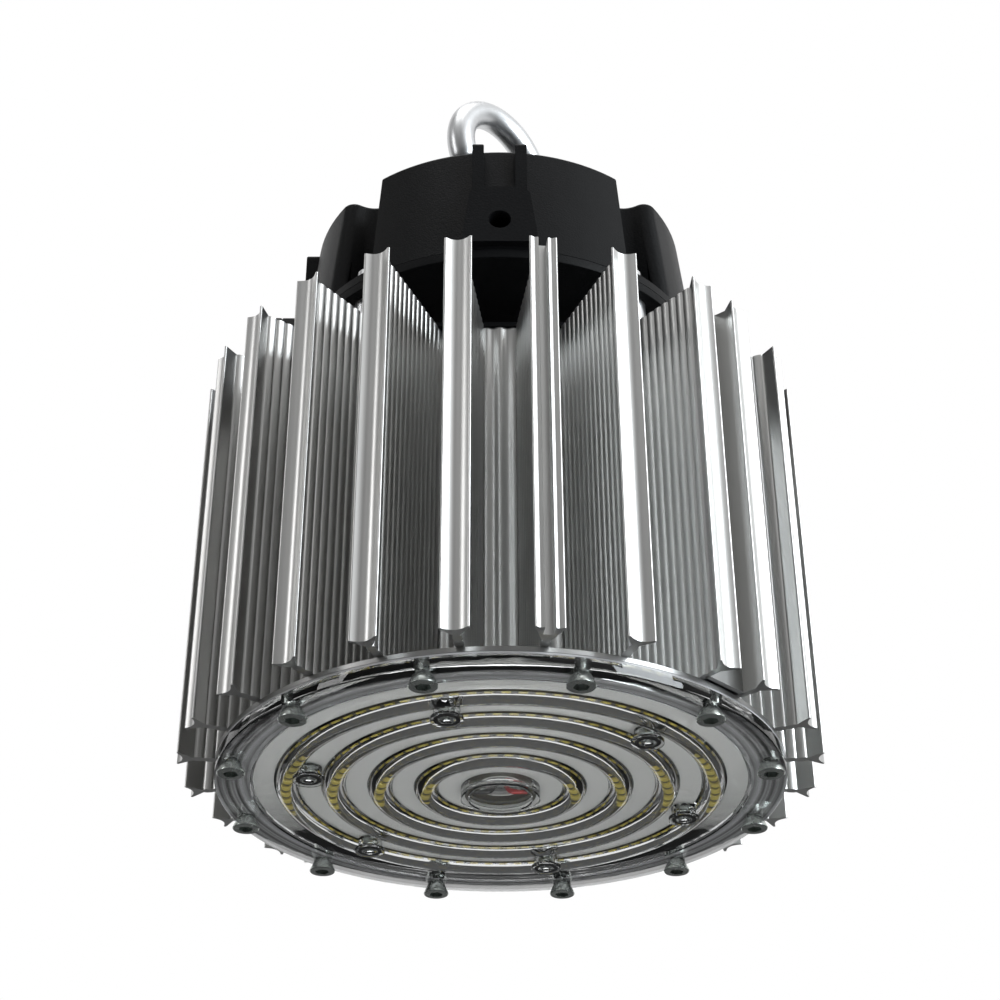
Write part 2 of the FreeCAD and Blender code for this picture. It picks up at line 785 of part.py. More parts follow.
def make_grommet(label, level, thickness, lower_flange):
    """A rubber bush for the leads: flanged on top, and below too where there is room."""
    body = new_body(label, level)
    low = "-grommet_lip" if lower_flange else "0"
    flange = "grommet_body + grommet_flange"
    outline = [("grommet_bore", low)]
    if lower_flange:
        outline += [(flange, low), (flange, "0")]
    outline += [("grommet_body", "0"), ("grommet_body", thickness), (flange, thickness),
                (flange, f"{thickness} + grommet_lip"),
                ("grommet_bore", f"{thickness} + grommet_lip")]
    turn(body, "Bush", outline)


# ---------------------------------------------------------------- mounting plate

def rounded_square(sketch, half, corner):
    flat = f"({half} - {corner})"
    trace(sketch, [
        (f"-{flat}", f"-{half}", corner), (flat, f"-{half}"), (half, f"-{flat}", corner),
        (half, flat), (flat, half, corner), (f"-{flat}", half),
        (f"-{half}", flat, corner), (f"-{half}", f"-{flat}")])


def make_mounting_plate():
    body = new_body("mounting_plate", "heat_sink_top")
    sketch = new_sketch(body, "Outline", "XY_Plane")
    rounded_square(sketch, "bracket_half", "bracket_corner")
    circle(sketch, "0", "0", "bracket_opening")
    pad(body, "Sheet", sketch, "bracket_thickness")
    drill(body, "CoreHole", "port_circle", "0", "port_radius", "bracket_thickness",
          "bracket_thickness", "port_count")


def make_standoffs():
    """Round pillars clinched to the mounting plate, tapped from above."""
    body = new_body("standoffs", "bracket_top")
    sketch = new_sketch(body, "Outline", "XY_Plane")
    for x in ("-corner_offset", "corner_offset"):
        for y in ("-corner_offset", "corner_offset"):
            circle(sketch, x, y, "standoff_radius")
    pad(body, "Pillars", sketch, "standoff_length")
    corner_drill(body, "Thread", "housing_screw_radius", "standoff_length", "standoff_thread")


# ---------------------------------------------------------------- driver housing

def side_sketch(body, name, angle, reach):
    """A sketch facing outwards at an angle from the front, at a reach from the axis."""
    sketch = new_sketch(body, name, "XZ_Plane", f"({reach}) * cos({angle})")
    sketch.AttachmentOffset = FreeCAD.Placement(
        FreeCAD.Vector(), FreeCAD.Rotation(FreeCAD.Vector(0, 1, 0), angle))
    sketch.setExpression("AttachmentOffset.Base.x", bound(f"({reach}) * sin({angle})"))
    return sketch


def make_driver_housing():
    """The cast cup: a drafted drum with corner recesses, side bosses and ribs."""
    body = new_body("driver_housing", "housing_seat")
    turn(body, "Drum", [
        ("0", "0"), ("housing_radius", "0"), ("housing_top_radius", "cup_height"),
        ("0", "cup_height")])
    for name, angle in (("Front", 0), ("Rear", 180), ("Left", -90)):
        side_boss(body, name, angle)
    cavity_low, cavity_high = "housing_radius - housing_wall", "housing_top_radius - housing_wall"
    turn(body, "Cavity", [
        ("0", "0"), (cavity_low, "0"), (cavity_high, "roof_inner"), ("0", "roof_inner")],
        kind="Groove")
    recess_walls(body)
    for name, angle in (("Front", 0), ("Rear", 180)):
        sketch = side_sketch(body, f"{name}InnerBossCircle", angle, "housing_radius - housing_wall / 2")
        circle(sketch, "0", "boss_hole_height", "bracket_boss_radius")
        pad(body, f"{name}InnerBoss", sketch, "bracket_hole_depth", reverse=True)
        sketch = side_sketch(body, f"{name}BracketCircle", angle, "boss_reach")
        circle(sketch, "0", "boss_hole_height", "bracket_hole_radius")
        pocket(body, f"{name}BracketHole", sketch, "bracket_hole_depth")
    sketch = side_sketch(body, "GlandCircle", -90, "boss_reach")
    circle(sketch, "0", "boss_hole_height", "gland_thread_radius")
    pocket(body, "GlandHole", sketch, "gland_wall + housing_wall")
    sketch = new_sketch(body, "HookBossCircle", "XY_Plane", "roof_inner")
    circle(sketch, "0", "0", "hook_boss_radius")
    pad(body, "HookBoss", sketch, "hook_boss_depth", reverse=True)
    drill(body, "HookHole", "0", "0", "hook_bar / 2 + hook_clearance", "cup_height",
          "housing_roof + hook_boss_depth")
    corner_drill(body, "FlangeHole", "housing_screw_radius + screw_clearance",
                 "flange_thickness", "flange_thickness")
    recesses = corner_recesses(body)
    lobes = round_edges(body, "LobeCorners", recesses, "recess_lobe_round", is_side_lobe_corner)
    round_edges(body, "RoofEdge", lobes, "housing_top_round", is_roof_edge)


def is_side_lobe_corner(edge):
    """The long edge where a recess meets the drum on its side lobe."""
    middle = edge.CenterOfMass
    angle = math.degrees(math.atan2(abs(middle.x), abs(middle.y)))
    outside = math.hypot(middle.x, middle.y) > value("housing_top_radius")
    tall = edge.BoundBox.ZLength > value("cup_height - flange_thickness") * 0.9
    return outside and tall and abs(angle - value("recess_side_angle")) < 3


def is_roof_edge(edge):
    """An edge of the roof's outline, away from the hook hole and the ribs."""
    box = edge.BoundBox
    level = value("cup_height")
    middle = edge.CenterOfMass
    at_roof = abs(box.ZMin - level) < 0.01 and abs(box.ZMax - level) < 0.01
    plain = math.hypot(middle.x, middle.y) > value("housing_top_radius") * 0.7
    return at_roof and plain


def side_boss(body, name, angle):
    """A raised pad with clipped top corners, and two ribs from it to the roof."""
    sketch = side_sketch(body, f"{name}BossOutline", angle, "boss_reach")
    trace(sketch, [
        ("-boss_half_width", "boss_bottom"), ("boss_half_width", "boss_bottom"),
        ("boss_top_half_width", "boss_top - boss_clip"),
        ("boss_top_half_width - boss_clip", "boss_top"),
        ("boss_clip - boss_top_half_width", "boss_top"),
        ("-boss_top_half_width", "boss_top - boss_clip")])
    pad(body, f"{name}Boss", sketch, "boss_reach - housing_top_radius + housing_wall / 2",
        reverse=True)
    sketch = side_sketch(body, f"{name}RibOutlines", angle, "boss_rib_reach")
    rectangle(sketch, "-boss_rib_outer", "boss_top - boss_clip * 2", "-boss_rib_inner", "cup_height")
    rectangle(sketch, "boss_rib_inner", "boss_top - boss_clip * 2", "boss_rib_outer", "cup_height")
    pad(body, f"{name}Ribs", sketch, "boss_rib_reach - housing_top_radius + housing_wall / 2",
        reverse=True)


def recess_walls(body):
    """Four wedges inside the drum that wall off the corner recesses."""
    sketch = new_sketch(body, "RecessWallOutlines", "XY_Plane")
    inner = "(corner_offset * sqrt(2) - recess_radius - recess_wall)"
    outer = "(housing_top_radius - housing_wall / 2)"
    for angle in (45, 135, 225, 315):
        corners = [(inner, "-recess_wall_inner_half"), (outer, "-recess_wall_outer_half"),
                   (outer, "recess_wall_outer_half"), (inner, "recess_wall_inner_half")]
        trace(sketch, [
            (f"{along} * cos({angle}) - ({across}) * sin({angle})",
             f"{along} * sin({angle}) + ({across}) * cos({angle})")
            for along, across in corners])
    pad(body, "RecessWalls", sketch, "roof_inner")


def corner_recesses(body):
    """Open recesses above the flange that let the four fixings in from the side."""
    sketch = new_sketch(body, "RecessOutlines", "XY_Plane", "cup_height")
    beyond = "(housing_radius + recess_radius)"
    front = (f"{beyond} * sin(recess_front_angle)", f"-{beyond} * cos(recess_front_angle)")
    side = (f"{beyond} * sin(recess_side_angle)", f"-{beyond} * cos(recess_side_angle)")
    along, across = "recess_radius * sin(recess_flank)", "recess_radius * cos(recess_flank)"
    near_front = (f"corner_offset - {across}", f"-corner_offset - {along}")
    near_side = (f"corner_offset + {along}", f"{across} - corner_offset")
    for x in (1, -1):
        for y in (1, -1):
            spin = x * y
            trace(sketch, [
                (f"{x} * ({front[0]})", f"{y} * ({front[1]})"),
                (f"{x} * ({side[0]})", f"{y} * ({side[1]})"),
                (f"{x} * ({near_side[0]})", f"{y} * ({near_side[1]})"),
                (f"{x} * ({near_front[0]})", f"{y} * ({near_front[1]})",
                 f"{spin} * recess_radius")])
    return pocket(body, "Recesses", sketch, "cup_height - flange_thickness")


def make_housing_lid():
    """The cast bottom cover, with the driver board's posts and a groove for the seal."""
    body = new_body("housing_lid", "housing_bottom")
    seal = "housing_radius - housing_wall / 2"
    low = f"{seal} - housing_gasket_width / 2"
    high = f"{seal} + housing_gasket_width / 2"
    turn(body, "Disc", [
        ("grommet_body", "0"), ("housing_radius", "0"), ("housing_radius", "lid_thickness"),
        (high, "lid_thickness"), (high, "lid_thickness - housing_gasket_depth"),
        (low, "lid_thickness - housing_gasket_depth"), (low, "lid_thickness"),
        ("grommet_body", "lid_thickness")])
    sketch = new_sketch(body, "PostCircles", "XY_Plane", "lid_thickness")
    driver_corners(sketch, "driver_post_radius")
    pad(body, "Posts", sketch, "driver_post_height")
    sketch = new_sketch(body, "PostHoleCircles", "XY_Plane", "driver_level")
    driver_corners(sketch, "driver_screw_radius")
    pocket(body, "PostHoles", sketch, "driver_post_height - driver_post_floor")
    corner_drill(body, "FixingHole", "housing_screw_radius + screw_clearance",
                 "lid_thickness", "lid_thickness")

    body = new_body("housing_gasket", "housing_seat - housing_gasket_depth")
    turn(body, "Seal", [
        (low, "0"), (high, "0"), (high, "housing_gasket_depth"),
        (low, "housing_gasket_depth")])


def driver_corners(sketch, radius):
    for x in ("-driver_post_x", "driver_post_x"):
        for y in ("-driver_post_y", "driver_post_y"):
            circle(sketch, x, y, radius)


def make_housing_fixings():
    """Screws and washers on the flange at the four corner recesses."""
    body = new_body("housing_washers", "housing_seat + flange_thickness")
    sketch = new_sketch(body, "Outline", "XY_Plane")
    for radius in ("housing_washer_radius", "housing_screw_radius + screw_clearance"):
        for x in ("-corner_offset", "corner_offset"):
            for y in ("-corner_offset", "corner_offset"):
                circle(sketch, x, y, radius)
    pad(body, "Washers", sketch, "housing_washer_thickness")

    body = new_body("housing_screws",
                    "housing_seat + flange_thickness + housing_washer_thickness")
    body.setExpression("Placement.Rotation.Angle", "45")
    circle_radius = "corner_offset * sqrt(2)"
    end = ("screw_end_clearance - housing_washer_thickness - flange_thickness"
           " - lid_thickness - standoff_thread")
    screw = turn(body, "Screw", [
        (circle_radius, end), (f"{circle_radius} + housing_screw_radius", end),
        (f"{circle_radius} + housing_screw_radius", "0"),
        (f"{circle_radius} + housing_head_radius", "0"),
        (f"{circle_radius} + housing_head_radius", "housing_head_height"),
        (circle_radius, "housing_head_height")], circle_radius)
    sketch = new_sketch(body, "SocketHexagon", "XY_Plane", "housing_head_height")
    hexagon(sketch, "housing_socket_width", circle_radius)
    socket = pocket(body, "Socket", sketch, "housing_socket_depth")
    ring(body, "Screws", [screw, socket], "4")


# ---------------------------------------------------------------- driver

def make_driver():
    """The circuit board on the lid's posts, with its larger components."""
    body = new_body("driver_board", "housing_bottom + driver_level")
    sketch = new_sketch(body, "Outline", "XY_Plane")
    x, y = "(driver_post_x + driver_board_margin)", "(driver_post_y + driver_board_margin)"
    rectangle(sketch, f"-{x}", f"-{y}", x, y)
    driver_corners(sketch, "driver_screw_radius + screw_clearance")
    pad(body, "Board", sketch, "driver_board_thickness")

    body = new_body("driver_screws", "housing_bottom + driver_top")
    sketch = new_sketch(body, "HeadCircles", "XY_Plane")
    driver_corners(sketch, "driver_head_radius")
    pad(body, "Heads", sketch, "driver_head_height")
    sketch = new_sketch(body, "ShankCircles", "XY_Plane")
    driver_corners(sketch, "driver_screw_radius")
    pad(body, "Shanks", sketch, "driver_board_thickness + driver_post_height"
        " - driver_post_floor - screw_end_clearance", reverse=True)

    body = new_body("transformer", "housing_bottom + driver_top")
    sketch = new_sketch(body, "Outline", "XY_Plane")
    rectangle(sketch, "transformer_x - transformer_length / 2", "-transformer_width / 2",
              "transformer_x + transformer_length / 2", "transformer_width / 2")
    pad(body, "Block", sketch, "transformer_height")

    body = new_body("capacitors", "housing_bottom + driver_top")
    sketch = new_sketch(body, "Outline", "XY_Plane")
    for number in (-1, 0, 1):
        circle(sketch, "-capacitor_radius - lead_offset - lead_radius - capacitor_clearance",
               f"{number} * capacitor_pitch", "capacitor_radius")
    pad(body, "Cans", sketch, "capacitor_height")

    body = new_body("terminal_block", "housing_bottom + driver_top")
    sketch = new_sketch(body, "Outline", "XY_Plane")
    rectangle(sketch, "-terminal_x - terminal_length / 2", "-terminal_width / 2",
              "-terminal_x + terminal_length / 2", "terminal_width / 2")
    pad(body, "Block", sketch, "terminal_height")
    sketch = new_sketch(body, "WayCircles", "YZ_Plane", "-terminal_x - terminal_length / 2")
    for number in (-1, 0, 1):
        circle(sketch, f"{number} * terminal_width / terminal_ways", "terminal_height / 2",
               "terminal_way_radius")
    pocket(body, "Ways", sketch, "terminal_way_depth", reverse=True)


# ---------------------------------------------------------------- cable gland

def make_gland():
    """A cable gland screwed into the left boss, its axis level and facing -X."""
    def outward(label):
        body = new_body(label, "gland_level")
        body.setExpression("Placement.Base.x", bound("-boss_reach"))
        body.Placement.Rotation = FreeCAD.Rotation(FreeCAD.Vector(0, 1, 0), -90)
        body.setExpression("Placement.Base.z", bound("gland_level"))
        return body

    body = outward("gland_body")
    sketch = new_sketch(body, "HexOutline", "XY_Plane")
    hexagon(sketch, "gland_hex_width")
    pad(body, "Hexagon", sketch, "gland_hex_thickness")
    neck = "gland_hex_thickness + gland_neck_length"
    turn(body, "Threads", [
        ("0", "-gland_thread_length"), ("gland_thread_radius", "-gland_thread_length"),
        ("gland_thread_radius", "0"), ("gland_neck_radius", "gland_hex_thickness"),
        ("gland_neck_radius", neck), ("0", neck)])
    turn(body, "Bore", [
        ("0", "-gland_thread_length"), ("gland_seal_radius", "-gland_thread_length"),
        ("gland_seal_radius", neck), ("0", neck)], kind="Groove")

    body = outward("gland_seal")
    turn(body, "Bush", [
        ("gland_bore", "gland_hex_thickness"), ("gland_seal_radius", "gland_hex_thickness"),
        ("gland_seal_radius", neck), ("gland_bore", neck)])

    body = outward("gland_nut")
    low = "gland_hex_thickness + gland_nut_gap"
    high = f"{low} + gland_nut_length"
    sketch = new_sketch(body, "HexOutline", "XY_Plane", low)
    hexagon(sketch, "gland_hex_width")
    pad(body, "Hexagon", sketch, "gland_nut_length / 2")
    turn(body, "Dome", [
        ("0", low), ("gland_hex_width / 2", low),
        ("gland_hex_width / 2", f"{high} - gland_nut_round"),
        ("gland_hex_width / 2 - gland_nut_round", high, "gland_nut_round"), ("0", high)])
    turn(body, "Mouth", [
        ("0", low), ("gland_neck_radius", low), ("gland_neck_radius", neck),
        ("gland_mouth", neck), ("gland_mouth", high), ("0", high)], kind="Groove")


# ---------------------------------------------------------------- hook

def make_hook():
    """A bar bent into an open loop over a straight threaded shank."""
    body = new_body("hook", "loop_centre")
    body.setExpression("Placement.Rotation.Angle", bound("hook_angle"))
    path = new_sketch(body, "Route", "XZ_Plane")
    reach = "(loop_radius + neck_radius)"
    lean = f"acos(neck_radius / {reach})"
    drop = f"-{reach} * sin({lean})"
    foot = ("-loop_rise - housing_roof - hook_boss_depth - lock_nut_height"
            " - hook_thread_spare")
    trace(path, [
        ("0", foot), ("0", drop),
        (f"loop_radius * cos({lean})", f"-loop_radius * sin({lean})", "-neck_radius"),
        ("loop_radius", "0", "loop_radius"), ("0", "loop_radius", "loop_radius"),
        ("-loop_radius", "0", "loop_radius"),
        ("loop_radius * cos(hook_end)", "loop_radius * sin(hook_end)", "loop_radius")],
        closed=False)
    section = new_sketch(body, "Section", "XY_Plane", foot)
    circle(section, "0", "0", "hook_bar / 2")
    pipe = body.newObject("PartDesign::AdditivePipe", "Bar")
    pipe.Profile = section
    pipe.Spine = path
    end = FreeCAD.Vector(value("loop_radius * cos(hook_end)"), 0,
                         value("loop_radius * sin(hook_end)"))
    near = value("hook_bar") / 10
    round_edges(body, "BarEnd", pipe, "hook_end_round",
                lambda edge: (edge.CenterOfMass - end).Length < near)


def make_hook_fixings():
    body = new_body("hook_washer", "housing_top")
    washer_bore = "hook_bar / 2 + hook_clearance"
    turn(body, "Ring", [
        (washer_bore, "0"), ("hook_washer_radius", "0"),
        ("hook_washer_radius", "hook_washer_thickness"), (washer_bore, "hook_washer_thickness")])
    make_nut("hook_nut", "housing_top + hook_washer_thickness", "hook_nut_height")
    make_nut("hook_lock_nut", "housing_top - housing_roof - hook_boss_depth - lock_nut_height",
             "lock_nut_height")


def make_nut(label, level, height):
    body = new_body(label, level)
    sketch = new_sketch(body, "Outline", "XY_Plane")
    hexagon(sketch, "hook_nut_width")
    circle(sketch, "0", "0", "hook_bar / 2")
    pad(body, "Nut", sketch, height)


# ---------------------------------------------------------------- the light

def write_parts():
    """Check every sub-part and write one STEP file for each."""
    doc.recompute()
    subparts = [part for part in doc.Objects
                if part.TypeId in ("PartDesign::Body", "Part::Feature")]
    for part in doc.Objects:
        if {"Invalid", "Error"} & set(part.State):
            raise RuntimeError(f"{part.Label} has not recomputed")
    for part in subparts:
        if part.Shape.isNull() or not part.Shape.isValid():
            raise RuntimeError(f"{part.Label} has no valid shape")
    os.makedirs("parts", exist_ok=True)
    for part in subparts:
        part.Shape.exportStep(f"parts/{part.Label}.step")


make_heat_sink()
make_base_plate()
make_core_screws()
make_disc("thermal_pad", "board_top", "board_radius", "pad_thickness", "board_hole_radius")
make_disc("led_board", "board_bottom", "board_radius", "board_thickness", "board_hole_radius")
for ring_number in range(int(value("ring_count"))):
    make_leds(ring_number)
make_lens_gasket()
make_lens_cover()
make_rim_screws()
make_post_fixings()
make_lead("red_lead", "1")
make_lead("black_lead", "-1")
make_grommet("plate_grommet", "plate_bottom", "plate_thickness", lower_flange=False)
make_grommet("lid_grommet", "housing_bottom", "lid_thickness", lower_flange=True)
make_mounting_plate()
make_standoffs()
make_driver_housing()
make_housing_lid()
make_housing_fixings()
make_driver()
make_gland()
make_hook()
make_hook_fixings()
write_parts()
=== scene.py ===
import math

import bmesh
import bpy
from bpy.props import FloatProperty, FloatVectorProperty, IntProperty, PointerProperty
from bpy.types import Operator, Panel, PropertyGroup
from mathutils import Matrix, Vector


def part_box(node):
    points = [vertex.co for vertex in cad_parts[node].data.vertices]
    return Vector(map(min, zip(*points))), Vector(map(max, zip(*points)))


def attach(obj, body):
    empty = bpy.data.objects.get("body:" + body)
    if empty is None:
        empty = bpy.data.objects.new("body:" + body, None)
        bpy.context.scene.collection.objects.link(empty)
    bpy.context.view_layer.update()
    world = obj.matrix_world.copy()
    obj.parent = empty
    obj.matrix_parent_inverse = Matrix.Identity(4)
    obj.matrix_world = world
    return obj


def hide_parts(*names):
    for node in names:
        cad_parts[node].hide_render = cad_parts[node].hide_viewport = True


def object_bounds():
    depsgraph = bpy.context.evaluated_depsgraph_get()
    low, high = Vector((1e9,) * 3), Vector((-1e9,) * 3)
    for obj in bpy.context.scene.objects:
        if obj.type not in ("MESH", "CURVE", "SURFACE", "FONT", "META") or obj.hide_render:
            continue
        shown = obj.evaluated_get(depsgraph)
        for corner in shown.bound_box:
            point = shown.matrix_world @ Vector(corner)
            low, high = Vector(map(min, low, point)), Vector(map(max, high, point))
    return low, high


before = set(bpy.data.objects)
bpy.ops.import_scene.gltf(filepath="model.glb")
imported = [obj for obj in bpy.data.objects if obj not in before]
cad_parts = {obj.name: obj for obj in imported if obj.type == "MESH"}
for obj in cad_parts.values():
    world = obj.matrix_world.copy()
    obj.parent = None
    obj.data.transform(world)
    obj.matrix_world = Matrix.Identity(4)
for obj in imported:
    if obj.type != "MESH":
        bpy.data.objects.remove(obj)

bl_info = {
    "name": "High Bay Light",
    "version": (1, 0, 0),
    "blender": (4, 5, 0),
    "location": "View3D > Sidebar > High Bay",
    "description": "Builds the pieces and finishes of a high bay light round its solids",
    "category": "Add Mesh",
}

CAD_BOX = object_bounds()
BODY = "root"
MM = 0.001


# ---------------- sizes and colours

def length(name, description, millimetres):
    return FloatProperty(name=name, description=description, default=millimetres * MM,
                         unit="LENGTH", precision=5)


def quantity(name, description, default):
    return IntProperty(name=name, description=description, default=default, min=1)


def angle(name, description, degrees):
    return FloatProperty(name=name, description=description,
                         default=math.radians(degrees), subtype="ANGLE")


def colour(name, description, red, green, blue):
    return FloatVectorProperty(name=name, description=description, subtype="COLOR",
                               size=3, min=0, max=1, default=(red, green, blue))


class FinSizes(PropertyGroup):
    tip_radius: length("Tip radius", "Axis to the outermost edge of a fin", 115)
    core_radius: length("Core radius", "Outside of the core that carries the fins", 60)
    bore_radius: length("Bore radius", "Inside of the core", 54.5)
    web_root: length("Root thickness", "Fin thickness at the core", 3)
    web_tip: length("Web thickness", "Fin thickness below its tip", 2)
    tip_width: length("Tip width", "Width of a fin's flared tip", 9.9)
    tip_hollow: length("Tip hollow", "Depth of the hollow along a tip's outer face", 2.1)
    lip: length("Lip", "Thickness of the lip at each side of a tip", 1)
    rib_pitch: length("Rib pitch", "Distance between two ribs on a fin's side", 3.73)
    rib_height: length("Rib height", "How far a rib stands off the web", 0.55)
    first_rib: length("First rib", "Distance of the outermost rib from the tip radius", 7.8)
    ribs: quantity("Ribs", "Ribs on one side of a fin", 13)
    slot_width: length("Slot width", "Width of the slot in the slotted fins", 3.3)
    slot_depth: length("Slot depth", "Depth of the slot in the slotted fins", 5.3)
    channel_depth: length("Channel depth", "Depth of the channel between paired fins", 10.5)
    channel_web: length("Channel floor", "Thickness of the channel's floor", 1.8)
    channel_spread: angle("Channel spread", "Half the angle between paired fins", 5.25)
    fin_pitch: angle("Fin pitch", "Angle from one fin to the next", 15)
    core_ribs: quantity("Core ribs", "Ribs round the outside of the core", 72)
    ports: quantity("Ports", "Screw ports inside the core", 6)
    port_circle: length("Port circle", "Distance of the screw ports from the axis", 51)
    port_radius: length("Port radius", "Outside of a screw port", 4.7)


class LensSizes(PropertyGroup):
    first_ring: length("First ring", "Radius of the innermost ring of LEDs", 26.5)
    ring_pitch: length("Ring pitch", "Distance between two rings of LEDs", 16.5)
    rings: quantity("Rings", "Rings of LEDs", 4)
    valley: length("Valley thickness", "Wall between two domes", 1.1)
    dome: length("Dome height", "Height of a dome above the valleys", 3.2)
    dome_half: length("Dome half width", "Half the width of a dome", 4.5)
    air: length("Air gap", "Gap between the lens and the board", 0.08)
    channel_half: length("LED channel", "Half the width of the channel over the LEDs", 2.7)
    channel_rise: length("LED channel height", "Height of the channel over the LEDs", 1.3)
    rim_inset: length("Rim inset", "Gap between the board and the rim", 0.5)
    rim_top: length("Rim top", "Rise of the rim above the board's face", 1.3)
    rim_depth: length("Rim depth", "Drop of the rim below the board's face", 2.6)
    cup_radius: length("Cup radius", "Outside of the cup in the middle", 14.2)
    cup_drop: length("Cup drop", "Height of the cup", 5.7)
    cup_recess: length("Cup recess", "Depth of the recess in the cup's end", 1)
    cup_recess_radius: length("Cup recess radius", "Radius of that recess", 11.1)
    cup_cavity_radius: length("Cup cavity radius", "Inside of the cup", 11.5)
    cup_floor: length("Cup floor", "Thickness of the cup's end", 1.5)
    post_circle: length("Post circle", "Distance of the screw posts from the axis", 69.2)
    post_angle: angle("Post angle", "Angle of the first post from +X", 15)
    posts: quantity("Posts", "Screw posts", 6)
    post_radius: length("Post radius", "Outside of a post", 4.5)
    post_bore: length("Post bore", "Inside of a post", 3)
    post_drop: length("Post drop", "Height of a post", 4.7)
    post_floor: length("Post floor", "Thickness under the post screw's head", 1.5)
    plug_radius: length("Plug radius", "Outside of a post's plug", 5.65)
    plug_spigot: length("Plug spigot", "How far a plug reaches into its post", 1)
    plug_dimple: length("Plug dimple", "Radius of the dimple in a plug's end", 1.9)
    plug_dimple_depth: length("Plug dimple depth", "Depth of that dimple", 0.6)
    led_size: length("LED size", "Side of an LED package", 3)
    led_pitch: length("LED pitch", "Distance between two packages", 5.6)


class ScrewSizes(PropertyGroup):
    rim_circle: length("Rim screw circle", "Distance of the rim screws from the axis", 96.4)
    rim_count: quantity("Rim screws", "Screws in the lens's rim", 12)
    rim_head: length("Rim head radius", "Radius of a rim screw's head at its end", 4.9)
    rim_root: length("Rim head root", "Radius of a rim screw's head at its shank", 3.4)
    rim_head_height: length("Rim head height", "Height of a rim screw's head", 4)
    rim_shank: length("Rim shank radius", "Radius of a rim screw's shank", 2.5)
    rim_socket: length("Rim socket", "Width across the flats of the socket", 4.8)
    rim_socket_depth: length("Rim socket depth", "Depth of the socket", 2.2)
    post_head: length("Post head radius", "Radius of a post screw's head", 2.75)
    post_head_height: length("Post head height", "Height of a post screw's head", 2)
    post_shank: length("Post shank radius", "Radius of a post screw's shank", 1.5)
    post_socket: length("Post socket", "Width across the flats of its socket", 2)
    post_socket_depth: length("Post socket depth", "Depth of its socket", 1.1)


class HookSizes(PropertyGroup):
    bar: length("Bar", "Diameter of the hook's bar", 12)
    loop_radius: length("Loop radius", "Radius of the loop's centre line", 23)
    neck_radius: length("Neck radius", "Radius of the bend between shank and loop", 17)
    turn: angle("Turn", "Angle of the loop's plane from +X", 45.8)
    end: angle("End", "Angle round the loop at which the bar ends", 215)
    thread_pitch: length("Thread pitch", "Pitch of the shank's thread", 1.75)
    thread_depth: length("Thread depth", "Depth of the shank's thread", 0.6)
    thread_above: length("Thread above", "Thread that shows above the nut", 12)


class LeadSizes(PropertyGroup):
    offset: length("Offset", "Distance of a lead from the axis", 2.4)
    bend: length("Bend", "Radius of the bend at a lead's foot", 2.5)
    foot: length("Foot", "Distance of a lead's end from the axis", 9.5)


class Finishes(PropertyGroup):
    aluminium: colour("Aluminium", "Anodised extrusion", 0.6, 0.6, 0.59)
    plate: colour("Plate", "Bright turned aluminium", 0.34, 0.34, 0.335)
    zinc: colour("Zinc", "Bright zinc plating", 0.72, 0.73, 0.74)
    steel: colour("Steel", "Screws", 0.55, 0.585, 0.56)
    casting: colour("Casting", "Black powder coat", 0.004, 0.0042, 0.0046)
    lens: colour("Lens", "Clear polycarbonate", 0.9, 0.91, 0.91)
    board: colour("Board", "White solder mask", 0.78, 0.78, 0.76)
    phosphor: colour("Phosphor", "LED packages", 0.55, 0.45, 0.08)
    red: colour("Red lead", "Red insulation", 0.5, 0.02, 0.02)
    black: colour("Black", "Rubber, nylon and the black lead", 0.012, 0.012, 0.012)
    circuit: colour("Circuit board", "Green solder mask", 0.03, 0.18, 0.07)
    # painted shade: this dark band stands for the shade round the LED packages under the lens's
    # domes
    track: colour("Track", "Dark track under the LEDs", 0.045, 0.04, 0.025)
    seal_dark: colour("Seal, dark", "Dark circles of the lens's seal", 0.04, 0.038, 0.036)
    # painted reflection: light circles that stand for the turned plate's glints under the clear
    # rim
    seal_light: colour("Seal, light", "Light circles of the lens's seal", 0.42, 0.42, 0.43)
    pad: colour("Thermal pad", "Grey pad", 0.35, 0.35, 0.36)
    tape: colour("Tape", "Transformer's tape", 0.6, 0.5, 0.1)
    sleeve: colour("Sleeve", "Capacitors' sleeve", 0.02, 0.02, 0.06)
    terminal: colour("Terminal", "Terminal block", 0.05, 0.25, 0.1)
    floor: colour("Floor", "Pale floor", 0.8, 0.8, 0.8)
    floor_mirrored: colour("Floor, mirrored", "Floor in what the light mirrors", 0.08, 0.08, 0.08)


class StageSettings(PropertyGroup):
    camera_place: FloatVectorProperty(
        name="Camera", description="Camera's place from the middle of the extrusion's foot",
        subtype="TRANSLATION", unit="LENGTH", default=(-0.00465, -0.64787, -0.28044))
    camera_pitch: angle("Camera pitch", "How far the camera looks up", 32.56)
    camera_shift: FloatVectorProperty(
        name="Camera shift", description="Shift of the view, as shares of its width",
        size=2, default=(0.0126, -0.0383))
    camera_lens: FloatProperty(name="Lens", description="Focal length in millimetres",
                               default=70.06)
    floor_drop: FloatProperty(name="Floor", description="Distance of the floor below the light",
                              default=0.75, unit="LENGTH")
    surroundings: FloatProperty(name="Surroundings", description="Level of the room's light",
                                default=1.0)


def sizes(group):
    return getattr(bpy.context.scene.high_bay, group)


# ---------------- shaders

def maths(operation, reflected=False):
    """A Python operator that adds a Math node."""
    def act(term, other):
        return term.apply(operation, *((other, term) if reflected else (term, other)))
    return act


